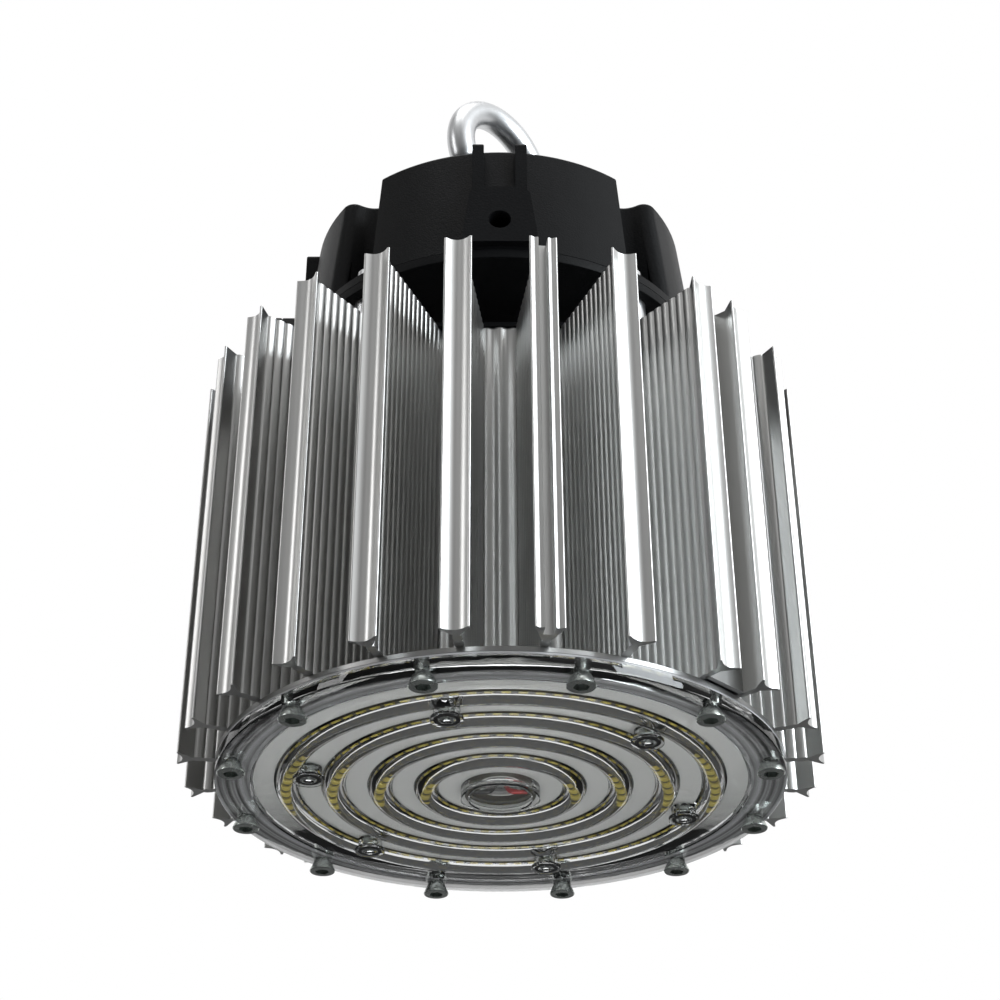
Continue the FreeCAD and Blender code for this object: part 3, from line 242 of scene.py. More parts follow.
class Term:
    """A socket that takes part in Python arithmetic."""

    def __init__(self, graph, socket):
        self.graph = graph
        self.socket = socket

    def __getitem__(self, name):
        """Another output of the same node."""
        return Term(self.graph, self.socket.node.outputs[name])

    def apply(self, operation, *terms):
        return self.graph.node("ShaderNodeMath", {"operation": operation},
                               dict(enumerate(terms or [self])))

    __add__, __radd__ = maths("ADD"), maths("ADD", True)
    __sub__, __rsub__ = maths("SUBTRACT"), maths("SUBTRACT", True)
    __mul__, __rmul__ = maths("MULTIPLY"), maths("MULTIPLY", True)
    __truediv__, __rtruediv__ = maths("DIVIDE"), maths("DIVIDE", True)
    __pow__, __rpow__ = maths("POWER"), maths("POWER", True)
    __gt__, __lt__ = maths("GREATER_THAN"), maths("LESS_THAN")


class Graph:
    """A node tree, to which every node is added in one way."""

    def __init__(self, tree):
        self.tree = tree

    def node(self, kind, settings=None, inputs=None, output=0):
        """Any node: its settings or a ramp's stops first, then constants or links."""
        made = self.tree.nodes.new(kind)
        for name, setting in (settings or {}).items():
            if name == "stops":
                self.set_stops(made.color_ramp, setting)
            else:
                setattr(made, name, setting)
        self.connect(made, inputs or {})
        return Term(self, made.outputs[output]) if made.outputs else None

    def connect(self, made, inputs):
        for name, term in inputs.items():
            if isinstance(term, Term):
                self.tree.links.new(term.socket, made.inputs[name])
            else:
                made.inputs[name].default_value = term

    @staticmethod
    def set_stops(ramp, stops):
        """A soft grey ramp through (position, grey) stops."""
        ramp.interpolation = "EASE"
        while len(ramp.elements) < len(stops):
            ramp.elements.new(0.5)
        for step, (position, _) in enumerate(stops):
            ramp.elements[step].position = position
        for element, (_, grey) in zip(ramp.elements, stops):
            element.color = (grey, grey, grey, 1)


class Finish(Graph):
    """A material built on one Principled shader."""

    def __init__(self, name, **constants):
        """Constants are named like the shader's sockets, in lower case."""
        self.material = bpy.data.materials.new(name)
        self.material.use_nodes = True
        super().__init__(self.material.node_tree)
        self.shader = self.tree.nodes["Principled BSDF"]
        self.connect(self.shader, {
            socket.replace("_", " ").title().replace("Ior", "IOR"):
            constant if isinstance(constant, float) else self.rgba(constant)
            for socket, constant in constants.items()})

    def noise(self, scale, detail, stretch=(1, 1, 1)):
        """Noise over the piece, stretched along each axis."""
        spot = self.node("ShaderNodeTexCoord", output="Object")
        place = self.node("ShaderNodeMapping", inputs={"Vector": spot, "Scale": stretch})
        return self.node("ShaderNodeTexNoise", inputs={
            "Vector": place, "Scale": scale, "Detail": detail})

    def from_axis(self):
        """Distance from the vertical axis in metres."""
        spot = self.node("ShaderNodeTexCoord", output="Object")
        parts = self.node("ShaderNodeSeparateXYZ", inputs={"Vector": spot})
        return (parts["X"] * parts["X"] + parts["Y"] * parts["Y"]) ** 0.5

    def circles(self, scale):
        """Noise that varies only with the distance from the axis."""
        return self.node("ShaderNodeTexNoise", {"noise_dimensions": "1D"},
                         {"W": self.from_axis() * scale, "Scale": 1.0, "Detail": 3.0})

    @staticmethod
    def rgba(shade):
        return shade if isinstance(shade, Term) else (*shade[:3], 1)

    def blend(self, amount, first, second):
        """A colour between two."""
        return self.node("ShaderNodeMix", {"data_type": "RGBA"}, {
            0: amount, 6: self.rgba(first), 7: self.rgba(second)}, output=2)

    def feed(self, socket, term):
        self.connect(self.shader, {socket: term})

    def tint(self, pattern, shade, darkest, lightest):
        """Base colour between two shares of a shade, by a pattern."""
        self.feed("Base Color", self.blend(
            pattern, shaded(shade, darkest), shaded(shade, lightest)))

    def roughen(self, pattern, least, most):
        self.feed("Roughness", least + pattern * (most - least))

    def bump(self, height, millimetres):
        self.feed("Normal", self.node("ShaderNodeBump", inputs={
            "Height": height, "Distance": millimetres * MM, "Strength": 1.0}))


def shaded(shade, factor):
    return tuple(min(part * factor, 1) for part in shade[:3])


def anodised_aluminium():
    """Satin extrusion with fine lines along the draw."""
    shade = sizes("finishes").aluminium
    finish = Finish("anodised_aluminium", metallic=1.0, base_color=shade)
    lines = finish.noise(900, 3, (1, 1, 0.01))
    finish.tint(finish.noise(25, 2), shade, 0.93, 1.05)
    finish.roughen(lines, 0.3, 0.38)
    finish.bump(lines, 0.01)
    return finish.material


def turned_aluminium():
    """Bright sheet with the lathe's fine circles."""
    shade = sizes("finishes").plate
    finish = Finish("turned_aluminium", metallic=1.0, base_color=shade)
    grain = finish.circles(1400)
    finish.tint(grain, shade, 0.85, 1.1)
    finish.roughen(grain, 0.3, 0.44)
    finish.bump(grain, 0.02)
    return finish.material


def silicone():
    """Pale sealing sheet with painted reflections: light circles that stand for the turned plate's
    glints seen through the clear rim.
    """
    finishes = sizes("finishes")
    finish = Finish("silicone", base_color=finishes.seal_dark)
    streak = finish.circles(420)
    # the light circles are painted reflections of the turned plate, not the seal's own colour
    light = finish.node("ShaderNodeClamp", inputs={"Value": streak * 3 - 1})
    finish.feed("Base Color", finish.blend(light, finishes.seal_dark, finishes.seal_light))
    finish.roughen(streak, 0.22, 0.42)
    return finish.material


def plated(name, shade, least, most):
    """Plated steel: slightly clouded, with a fine grain."""
    finish = Finish(name, metallic=1.0, base_color=shade)
    cloud = finish.noise(180, 3)
    finish.tint(cloud, shade, 0.9, 1.08)
    finish.roughen(cloud, least, most)
    finish.bump(finish.noise(2200, 2), 0.01)
    return finish.material


def powder_coat():
    """Black powder coat: a fine orange-peel texture with a soft sheen."""
    shade = sizes("finishes").casting
    finish = Finish("powder_coat", base_color=shade, specular_ior_level=0.07)
    grain = finish.noise(1500, 3)
    finish.tint(finish.noise(40, 2), shade, 1, 1.5)
    finish.roughen(grain, 0.34, 0.5)
    finish.bump(grain, 0.12)
    return finish.material


def clear_polycarbonate():
    """Clear moulding, very slightly uneven in thickness."""
    finish = Finish("clear_polycarbonate", base_color=sizes("finishes").lens,
                    roughness=0.02, ior=1.585, transmission_weight=1.0)
    finish.bump(finish.noise(60, 2), 0.1)
    return finish.material


def white_mask():
    """White solder mask, with a band of painted shade under each ring of packages."""
    finishes, lens = sizes("finishes"), sizes("lens")
    finish = Finish("white_mask", base_color=finishes.board)
    cloud = finish.noise(300, 3)
    coated = finish.blend(cloud, shaded(finishes.board, 0.95), finishes.board)
    # painted shade: a dark band, as wide as the channel over the LEDs, round the middle of each
    # ring
    rings_out = (finish.from_axis() - lens.first_ring) / lens.ring_pitch + 0.5
    off_shade_band = (rings_out.apply("FRACT") - 0.5).apply("ABSOLUTE")
    outside_shade_band = off_shade_band > lens.channel_half / lens.ring_pitch
    finish.feed("Base Color", finish.blend(1 - outside_shade_band, coated, finishes.track))
    finish.roughen(cloud, 0.3, 0.45)
    return finish.material


def moulded(name, shade, rough):
    """Moulded plastic or rubber with a fine surface grain."""
    finish = Finish(name, base_color=shade)
    grain = finish.noise(1800, 2)
    finish.tint(grain, shade, 0.9, 1.1)
    finish.roughen(grain, rough - 0.06, rough + 0.06)
    finish.bump(grain, 0.03)
    return finish.material


def phosphor():
    """The LED's yellow silicone, uneven in tone."""
    shade = sizes("finishes").phosphor
    finish = Finish("phosphor", base_color=shade)
    speck = finish.noise(2500, 2)
    finish.tint(speck, shade, 0.75, 1.15)
    finish.roughen(speck, 0.25, 0.45)
    return finish.material


# ---------------- meshes

def mesh_from(name, points, faces):
    mesh = bpy.data.meshes.new(name)
    mesh.from_pydata([tuple(point) for point in points], [], faces)
    mesh.validate()
    return mesh


def tidy(mesh):
    """Merge doubles and turn every face outwards."""
    edit = bmesh.new()
    edit.from_mesh(mesh)
    bmesh.ops.remove_doubles(edit, verts=edit.verts, dist=1e-7)
    bmesh.ops.recalc_face_normals(edit, faces=edit.faces)
    edit.to_mesh(mesh)
    edit.free()
    return mesh


def smooth(mesh, sharp):
    """Smooth shading, except across edges sharper than an angle in degrees."""
    mesh.polygons.foreach_set("use_smooth", [True] * len(mesh.polygons))
    mesh.set_sharp_from_angle(angle=math.radians(sharp))
    return mesh


def prism(name, outline, low, high):
    """A closed outline of (x, y) points between two levels."""
    count = len(outline)
    points = [(x, y, level) for level in (low, high) for x, y in outline]
    faces = [(number, (number + 1) % count, (number + 1) % count + count, number + count)
             for number in range(count)]
    faces += [tuple(reversed(range(count))), tuple(range(count, 2 * count))]
    return tidy(mesh_from(name, points, faces))


def circle(radius, steps, *level):
    """Points round the vertical axis, counted from +X; with a level, in space."""
    return [(radius * math.cos(2 * math.pi * step / steps),
             radius * math.sin(2 * math.pi * step / steps), *level) for step in range(steps)]


def turned(name, profile, steps):
    """A closed (radius, z) profile revolved about the vertical axis."""
    points, rows = [], []
    for radius, level in profile:
        if not radius:
            rows.append([len(points)] * steps)
            points.append((0, 0, level))
            continue
        rows.append(list(range(len(points), len(points) + steps)))
        points += circle(radius, steps, level)
    faces = []
    for number, row in enumerate(rows):
        following = rows[(number + 1) % len(rows)]
        for step in range(steps):
            after = (step + 1) % steps
            corners = [row[step], row[after], following[after], following[step]]
            corners = list(dict.fromkeys(corners))
            if len(corners) > 2:
                faces.append(corners)
    return tidy(mesh_from(name, points, faces))


def arc(start, end, rise, steps):
    """Points of a shallow arc between two (radius, z) points, without the first."""
    middle = ((start[0] + end[0]) / 2, (start[1] + end[1]) / 2)
    half = math.dist(start, end) / 2
    radius = (half ** 2 + rise ** 2) / (2 * abs(rise))
    sign = math.copysign(1, rise)
    swing = math.asin(min(half / radius, 1))
    turn = math.atan2(end[1] - start[1], end[0] - start[0])
    points = []
    for step in range(1, steps + 1):
        place = -swing + 2 * swing * step / steps
        along = radius * math.sin(place)
        off = sign * (radius * math.cos(place) - (radius - abs(rise)))
        points.append((middle[0] + along * math.cos(turn) - off * math.sin(turn),
                       middle[1] + along * math.sin(turn) + off * math.cos(turn)))
    return points


def tube(name, path, radius, sides):
    """A round bar along a path; radius is called with the point's number and the side."""
    points, faces = [], []
    normal = Vector((1, 0, 0))
    for number, place in enumerate(path):
        before, after = path[max(number - 1, 0)], path[min(number + 1, len(path) - 1)]
        ahead = (after - before).normalized()
        normal = (normal - ahead * normal.dot(ahead)).normalized()
        other = ahead.cross(normal)
        for side in range(sides):
            turn = 2 * math.pi * side / sides
            reach = radius(number, side)
            points.append(place + (normal * math.cos(turn) + other * math.sin(turn)) * reach)
    for number in range(len(path) - 1):
        for side in range(sides):
            after = (side + 1) % sides
            base = number * sides
            faces.append((base + side, base + after, base + sides + after, base + sides + side))
    last = (len(path) - 1) * sides
    faces += [tuple(reversed(range(sides))), tuple(range(last, last + sides))]
    return tidy(mesh_from(name, points, faces))


def joined(name, meshes):
    """Several meshes as one."""
    edit = bmesh.new()
    for mesh in meshes:
        edit.from_mesh(mesh)
    whole = bpy.data.meshes.new(name)
    edit.to_mesh(whole)
    edit.free()
    return whole


def moved(mesh, x, z=0.0):
    mesh.transform(Matrix.Translation((x, 0, z)))
    return mesh


def evaluated(mesh, set_up):
    """The mesh after the modifiers that set_up adds to a passing object."""
    holder = bpy.data.objects.new("passing", mesh)
    bpy.context.scene.collection.objects.link(holder)
    set_up(holder)
    bpy.context.view_layer.update()
    shape = holder.evaluated_get(bpy.context.evaluated_depsgraph_get())
    result = bpy.data.meshes.new_from_object(shape)
    bpy.data.objects.remove(holder)
    return result


def combined(mesh, other, operation):
    """A boolean of two closed meshes."""
    tool = bpy.data.objects.new("tool", other)
    bpy.context.scene.collection.objects.link(tool)

    def set_up(holder):
        cut = holder.modifiers.new("Cut", "BOOLEAN")
        cut.operation = operation
        cut.solver = "EXACT"
        cut.object = tool

    result = evaluated(mesh, set_up)
    bpy.data.objects.remove(tool)
    return result


def bevelled(mesh, width, sharp):
    def set_up(holder):
        bevel = holder.modifiers.new("Bevel", "BEVEL")
        bevel.width = width
        bevel.segments = 2
        bevel.limit_method = "ANGLE"
        bevel.angle_limit = math.radians(sharp)
    return evaluated(mesh, set_up)


def weighted(mesh):
    """Normals that follow the large faces, so that only the eased edges look round."""
    def set_up(holder):
        even = holder.modifiers.new("Normals", "WEIGHTED_NORMAL")
        even.mode = "FACE_AREA"
        even.keep_sharp = True
    return evaluated(mesh, set_up)


# ---------------- the ring tree

def ring_tree():
    """Geometry nodes: the input mesh repeated round the vertical axis."""
    tree = bpy.data.node_groups.get("Ring")
    if tree:
        return tree
    tree = bpy.data.node_groups.new("Ring", "GeometryNodeTree")
    for name, kind in (("Geometry", "Geometry"), ("Count", "Int"), ("Start", "Float"),
                       ("Step", "Float"), ("Material", "Material")):
        tree.interface.new_socket(name, in_out="INPUT", socket_type=f"NodeSocket{kind}")
    tree.interface.new_socket("Geometry", in_out="OUTPUT", socket_type="NodeSocketGeometry")
    graph = Graph(tree)
    given = graph.node("NodeGroupInput")
    points = graph.node("GeometryNodePoints", inputs={"Count": given["Count"]})
    index = graph.node("GeometryNodeInputIndex")
    turn = graph.node("ShaderNodeCombineXYZ", inputs={"Z": index * given["Step"] + given["Start"]})
    copies = graph.node("GeometryNodeInstanceOnPoints", inputs={
        "Points": points, "Instance": given["Geometry"], "Rotation": turn})
    real = graph.node("GeometryNodeRealizeInstances", inputs={0: copies})
    coated = graph.node("GeometryNodeSetMaterial", inputs={
        "Geometry": real, "Material": given["Material"]})
    graph.node("NodeGroupOutput", inputs={0: coated})
    return tree


def ring(mesh, count, start, step, material=None):
    """The mesh repeated round the axis by the ring tree, as a plain mesh."""
    tree = ring_tree()
    values = {"Count": int(count), "Start": float(start), "Step": float(step),
              "Material": material}

    def set_up(holder):
        modifier = holder.modifiers.new("Ring", "NODES")
        modifier.node_group = tree
        for socket in tree.interface.items_tree:
            if socket.in_out == "INPUT" and values.get(socket.name) is not None:
                modifier[socket.identifier] = values[socket.name]

    return evaluated(mesh, set_up)


def full_ring(mesh, count, start, material=None):
    return ring(mesh, count, start, 2 * math.pi / count, material)


# ---------------- pieces on the frame


def piece(name, mesh, material, *nodes):
    """A finished piece that stands for CAD nodes."""
    mesh.materials.clear()
    mesh.materials.append(material)
    made = bpy.data.objects.new(name, mesh)
    bpy.context.scene.collection.objects.link(made)
    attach(made, BODY)
    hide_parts(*nodes)


def coat(material, *nodes):
    """CAD nodes kept as they are, with a better material."""
    for node in nodes:
        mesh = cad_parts[node].data
        mesh.materials.clear()
        mesh.materials.append(material)


def solid_copy(node):
    """A node's mesh, merged and with its flat faces whole again."""
    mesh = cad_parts[node].data.copy()
    edit = bmesh.new()
    edit.from_mesh(mesh)
    bmesh.ops.remove_doubles(edit, verts=edit.verts, dist=1e-6)
    bmesh.ops.dissolve_limit(edit, angle_limit=math.radians(1), verts=edit.verts,
                             edges=edit.edges)
    edit.to_mesh(mesh)
    edit.free()
    return mesh


def eased(node, millimetres, material):
    """A piece that follows a node, with its edges eased."""
    mesh = smooth(bevelled(solid_copy(node), millimetres * MM, sharp=12), sharp=50)
    piece(f"{node}_eased", weighted(mesh), material, node)


def levels(node):
    low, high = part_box(node)
    return low[2], high[2]


# ---------------- heat sink

class FinOutline:
    """A fin's outline as (radius, half width) pairs from its root to its tip."""

    # a rib's section, in shares of the rib pitch and of the rib's height
    BEAD = ((-0.5, 0), (-0.4, 0.6), (-0.22, 0.92), (0, 1), (0.22, 0.92), (0.4, 0.6))
    # where points lie round a lip, in radians from the tip's side
    LIP_TURNS = (-0.9, -0.3, 0.3, 0.8, 1.2, 1.6, 2.0, 2.5)
    # where points lie across half a tip's hollow face, in shares of its half width
    HOLLOW = (0.8, 0.6, 0.4, 0.2)

    def __init__(self):
        self.size = sizes("fins")

    def half_web(self, radius):
        size = self.size
        share = (radius - size.core_radius) / (size.tip_radius - size.core_radius)
        return (size.web_root + share * (size.web_tip - size.web_root)) / 2

    def ribbed(self, skipped=0):
        size = self.size
        first = size.tip_radius - size.first_rib
        points = [(size.core_radius - size.lip, size.web_root / 2)]
        for number in reversed(range(skipped, size.ribs)):
            crest = first - number * size.rib_pitch
            for along, high in self.BEAD:
                radius = crest + along * size.rib_pitch
                points.append((radius, self.half_web(radius) + high * size.rib_height))
        flare = first - (skipped - 0.5) * size.rib_pitch
        return points + [(flare, self.half_web(flare))]

    def flat(self):
        size = self.size
        floor = size.core_radius - size.lip
        flare = size.tip_radius - size.first_rib + size.rib_pitch / 2
        return [(floor, size.web_root / 2), (flare, self.half_web(flare))]

    def lip(self):
        """The rounded lip that ends each side of a tip."""
        size = self.size
        half, bead = size.tip_width / 2, size.lip / 2
        level = math.sqrt(size.tip_radius ** 2 - half ** 2) - bead
        return [(level + bead * math.sin(turn), half - bead + bead * math.cos(turn))
                for turn in self.LIP_TURNS]

    def plain_tip(self):
        """A tip whose outer face is hollow."""
        size = self.size
        lip = self.lip()
        floor = size.tip_radius - size.tip_hollow
        inner, rise = lip[-1][1], lip[-1][0] - floor
        hollow = [(floor + rise * part ** 2, inner * part) for part in self.HOLLOW]
        return lip + hollow + [(floor, 0)]

    def slotted_tip(self):
        """A tip with a slot along its middle, and a dished land at each side of it."""
        size = self.size
        lip = self.lip()
        half = size.slot_width / 2
        floor = size.tip_radius - size.slot_depth
        cheek = half + size.lip * 1.4
        # the dished land and the slot's rounded edge, in shares of the lip's thickness
        dish = (half + lip[-1][1]) / 2
        return ([(floor - size.lip * 1.4, cheek - size.lip * 0.4), (floor, cheek)] + lip + [
            (lip[-1][0] - size.lip * 0.5, dish + size.lip * 0.3),
            (lip[-1][0] - size.lip * 0.4, dish - size.lip * 0.3),
            (size.tip_radius - size.lip * 0.45, half + size.lip * 0.25),
            (size.tip_radius - size.lip * 0.8, half), (floor, half)])

    def whole(self, side, tip, other_side):
        """A fin's whole outline as (across, radius) points."""
        across = [(-half, radius) for radius, half in side + tip]
        back = [(half, radius) for radius, half in reversed(tip) if half]
        return across + back + [(half, radius) for radius, half in reversed(other_side)]


def facing(points, turn):
    """(across, radius) points on the line at an angle from the front, as (x, y)."""
    sine, cosine = math.sin(turn), math.cos(turn)
    return [(radius * sine + across * cosine, across * sine - radius * cosine)
            for across, radius in points]


def core_outline(size, steps):
    """The core's wall: ribs outside, screw ports inside, as matching rings of radii."""
    ports = [2 * math.pi * number / size.ports for number in range(size.ports)]
    outer, inner = [], []
    for step in range(steps):
        turn = 2 * math.pi * step / steps
        crest = (1 + math.cos(turn * size.core_ribs)) / 2
        outer.append(size.core_radius + size.rib_height * crest)
        near = min(abs((turn - port + math.pi) % (2 * math.pi) - math.pi) for port in ports)
        chord = size.port_radius ** 2 - (size.port_circle * math.sin(near)) ** 2
        reach = size.bore_radius
        if chord > 0 and math.cos(near) > 0:
            reach = min(reach, size.port_circle * math.cos(near) - math.sqrt(chord))
        inner.append(reach)
    return outer, inner


def core_mesh(size, low, high):
    steps = 12 * size.core_ribs
    outer, inner = core_outline(size, steps)
    points, faces = [], []
    for radii, level in ((outer, low), (outer, high), (inner, high), (inner, low)):
        points += [(radius * x, radius * y, level)
                   for radius, (x, y) in zip(radii, circle(1, steps))]
    for band in range(4):
        start, following = band * steps, (band + 1) % 4 * steps
        for step in range(steps):
            after = (step + 1) % steps
            faces.append((start + step, start + after, following + after, following + step))
    return tidy(mesh_from("core", points, faces))


def heat_sink_mesh():
    """Half the fins, placed in fin pitches from the front, then both halves and the core.

    A half has a slotted fin, a plain one, a pair with a channel's floor, and a plain run.
    """
    size = sizes("fins")
    low, high = levels("heat_sink")
    outline = FinOutline()
    pitch = size.fin_pitch
    ribbed, flat = outline.ribbed(), outline.flat()
    slotted_side = outline.ribbed(skipped=1)

    def fin(shape, turn):
        return prism("fin", facing(shape, turn), low, high)

    plain = outline.whole(ribbed, outline.plain_tip(), ribbed)
    slotted = outline.whole(slotted_side, outline.slotted_tip(), slotted_side)
    left = outline.whole(ribbed, outline.plain_tip(), flat)
    right = outline.whole(flat, outline.plain_tip(), ribbed)
    outer = size.tip_radius - size.channel_depth
    inner = outer - size.channel_web
    spread = size.channel_spread
    floor = [(side * radius * math.sin(spread), radius * math.cos(spread))
             for side, radius in ((-1, inner), (-1, outer), (1, outer), (1, inner))]
    channel = 3 * pitch
    one_half = joined("half", [
        fin(slotted, pitch * 0.5), fin(plain, pitch * 1.5),
        fin(left, channel - spread), fin(right, channel + spread),
        prism("floor", facing(floor, channel), low, high),
        ring(fin(plain, pitch * 4.5), 8, 0, pitch)])
    fins = full_ring(one_half, 2, 0)
    return smooth(joined("heat_sink", [fins, core_mesh(size, low, high)]), sharp=45)


# ---------------- lens and board

def lens_profile():
    """Half the lens's section: outside from the axis to the rim, then the inside back."""
    size = sizes("lens")
    face = levels("led_board")[0]
    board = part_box("led_board")[1][0]
    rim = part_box("lens_cover")[1][0]
    half = size.dome_half
    end = face - size.cup_drop
    inner = face - size.air
    ease = 0.4 * MM
    outside = [(0, end + size.cup_recess), (size.cup_recess_radius, end + size.cup_recess),
               (size.cup_recess_radius, end + ease), (size.cup_recess_radius + ease, end),
               (size.cup_radius - ease, end), (size.cup_radius, end + ease),
               (size.cup_radius, face - size.valley)]
    middles = [size.first_ring + number * size.ring_pitch for number in range(size.rings)]
    for middle in middles:
        outside.append((middle - half, face - size.valley))
        outside += arc((middle - half, face - size.valley), (middle + half, face - size.valley),
                       -size.dome, 16)
    wall = board + size.rim_inset
    bottom = face - size.rim_depth
    outside += [(wall, bottom + ease), (wall + ease, bottom), (rim - ease * 2, bottom),
                (rim - ease * 0.6, bottom + ease * 0.6), (rim, bottom + ease * 2),
                (rim, face + size.rim_top - size.air), (wall, face + size.rim_top - size.air),
                (wall, inner)]
    inside = []
    for middle in reversed(middles):
        side, top = size.channel_half, inner - size.channel_rise
        inside += [(middle + side, inner), (middle + side, top + ease),
                   (middle + side - ease, top), (middle - side + ease, top),
                   (middle - side, top + ease), (middle - side, inner)]
    ceiling = end + size.cup_recess + size.cup_floor
    inside += [(size.cup_cavity_radius, inner), (size.cup_cavity_radius, ceiling + ease),
               (size.cup_cavity_radius - ease, ceiling), (0, ceiling)]
    return outside + inside


def rod(radius, low, high, steps):
    """A round rod on a post's axis."""
    profile = [(0, high), (radius, high), (radius, low), (0, low)]
    return moved(turned("rod", profile, steps), sizes("lens").post_circle)


def lens_mesh():
    size = sizes("lens")
    face = levels("led_board")[0]
    low = face - size.post_drop
    inside_wall = face - size.valley * 0.4
    post = rod(size.post_radius, low, inside_wall, steps=40)
    bore = rod(size.post_bore, low - MM, face - size.post_floor, steps=32)
    shell = turned("lens", lens_profile(), steps=288)
    shell = combined(shell, full_ring(post, size.posts, size.post_angle), "UNION")
    shell = combined(shell, full_ring(bore, size.posts, size.post_angle), "DIFFERENCE")
    return smooth(shell, sharp=30)


def plug_mesh():
    size = sizes("lens")
    low, high = levels("post_plugs")
    flange = high - size.plug_spigot
    radius, dimple = size.plug_radius, size.plug_dimple
    floor = low + size.plug_dimple_depth
    ease = 0.15 * MM
    return moved(turned("plug", [
        (0, floor), (dimple - 0.4 * MM, floor), (dimple - 0.2 * MM, floor - 0.1 * MM),
        (dimple, low), (radius - ease, low), (radius, low + ease),
        (radius, flange - ease), (radius - ease, flange), (size.post_bore - ease, flange),
        (size.post_bore - ease, high), (0, high)], steps=40), size.post_circle)


def package_mesh(radius):
    """One LED package: a low block with a raised, slightly narrower lit face."""
    size = sizes("lens")
    low, high = levels("led_ring_1")
    half = size.led_size / 2
    shoulder = low + (high - low) * 0.3
    lit = half * 0.82
    points = []
    for reach, level in ((half, high), (half, shoulder), (lit, low)):
        points += [(radius - reach, -reach, level), (radius + reach, -reach, level),
                   (radius + reach, reach, level), (radius - reach, reach, level)]
    faces = [(3, 2, 1, 0), (8, 9, 10, 11)]
    for base in (0, 4):
        faces += [(base + side, base + (side + 1) % 4, base + 4 + (side + 1) % 4,
                   base + 4 + side) for side in range(4)]
    return tidy(mesh_from("package", points, faces))


# ---------------- screws

def socket_screw(node, place, head, root, height, shank, socket, depth):
    """A screw as long as a node, its head's end down and wider or narrower than its root."""
    low, high = levels(node)
    reach = high - low
    ease, root_ease = 0.3 * MM, 0.1 * MM
    body = turned("screw", [
        (0, 0), (head - ease, 0), (head, ease), (head, ease * 2), (root, height - root_ease),
        (root - root_ease, height), (shank, height), (shank, reach - shank * 0.3),
        (shank * 0.7, reach), (0, reach)], steps=36)
    key = prism("key", circle(socket / math.sqrt(3), 6), -MM, depth)
    return moved(smooth(combined(body, key, "DIFFERENCE"), sharp=30), place, low)


# ---------------- hook

def hook_path():
    """Centre line of the bar, as its shank and its bent part."""
    size = sizes("hook")
    low, high = levels("hook")
    centre = high - size.bar / 2 - size.loop_radius
    reach = size.loop_radius + size.neck_radius
    lean = math.acos(size.neck_radius / reach)
    drop = centre - reach * math.sin(lean)
    shank_steps, neck_steps, loop_steps = 160, 24, 96
    shank = [(0, low + (drop - low) * step / shank_steps) for step in range(shank_steps)]
    bent = []
    for step in range(neck_steps + 1):
        turn = lean * step / neck_steps
        bent.append((size.neck_radius * (1 - math.cos(turn)),
                     drop + size.neck_radius * math.sin(turn)))
    for step in range(1, loop_steps + 1):
        turn = -lean + (size.end + lean) * step / loop_steps
        bent.append((size.loop_radius * math.cos(turn),
                     centre + size.loop_radius * math.sin(turn)))
    sine, cosine = math.sin(size.turn), math.cos(size.turn)
    return [[Vector((along * cosine, along * sine, level)) for along, level in part]
            for part in (shank, bent)]


def hook_mesh():
    size = sizes("hook")
    shank, bent = hook_path()
    path = shank + bent
    sides = 32
    full = size.bar / 2
    rounding = full * 0.8
    least_share = 0.02
    thread_top = levels("hook_nut")[1] + size.thread_above

    def radius(number, side):
        """The thread's flanks on the shank, and a rounded end."""
        place = path[number]
        if number < len(shank) and place.z < thread_top:
            wave = (place.z / size.thread_pitch + side / sides) % 1
            return full - size.thread_depth * abs(2 * wave - 1)
        gone = rounding - (place - path[-1]).length
        if number > len(shank) and gone > 0:
            return full * math.sqrt(max(1 - (gone / rounding) ** 2, least_share))
        return full

    return smooth(tube("hook", path, radius, sides), sharp=50)


# ---------------- leads

def lead_mesh(name, side):
    """A lead down the axis, bent over onto its pad on the board."""
    size = sizes("leads")
    low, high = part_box(name)
    radius = (high[1] - low[1]) / 2
    level = low[2] + radius
    drop = high[2] - level - size.bend
    flat = size.foot - size.offset - size.bend
    drop_steps, bend_steps, flat_steps = 12, 8, 4
    path = [(size.offset, high[2] - drop * step / drop_steps) for step in range(drop_steps)]
    for step in range(bend_steps + 1):
        turn = math.pi / 2 * step / bend_steps
        path.append((size.offset + size.bend * (1 - math.cos(turn)),
                     level + size.bend * (1 - math.sin(turn))))
    path += [(size.offset + size.bend + flat * step / flat_steps, level)
             for step in range(1, flat_steps + 1)]
    path = [Vector((side * along, 0, height)) for along, height in path]
    bar = tube(name, path, lambda number, turn: radius, sides=20)
    return smooth(bar, sharp=60)


# ---------------- operators

class HIGHBAY_OT_heat_sink(Operator):
    """Build the finned extrusion"""
    bl_idname = "high_bay.heat_sink"
    bl_label = "Heat Sink"

    def execute(self, context):
        piece("finned_extrusion", heat_sink_mesh(), anodised_aluminium(), "heat_sink")
        return {"FINISHED"}


class HIGHBAY_OT_base_plate(Operator):
    """Build the base plate and finish the pad, the seals and the grommets"""
    bl_idname = "high_bay.base_plate"
    bl_label = "Base Plate"

    def execute(self, context):
        low, high = levels("base_plate")
        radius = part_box("base_plate")[1][0]
        ease = 0.2 * MM
        plate = turned("plate", [
            (0, low), (radius - ease, low), (radius, low + ease), (radius, high - ease),
            (radius - ease, high), (0, high)], steps=192)
        piece("plate", smooth(plate, sharp=30), turned_aluminium(), "base_plate")
        finishes = sizes("finishes")
        coat(silicone(), "lens_gasket")
        coat(moulded("rubber", finishes.black, rough=0.6),
             "plate_grommet", "lid_grommet", "housing_gasket", "gland_seal")
        coat(moulded("thermal_pad", finishes.pad, rough=0.7), "thermal_pad")
        return {"FINISHED"}


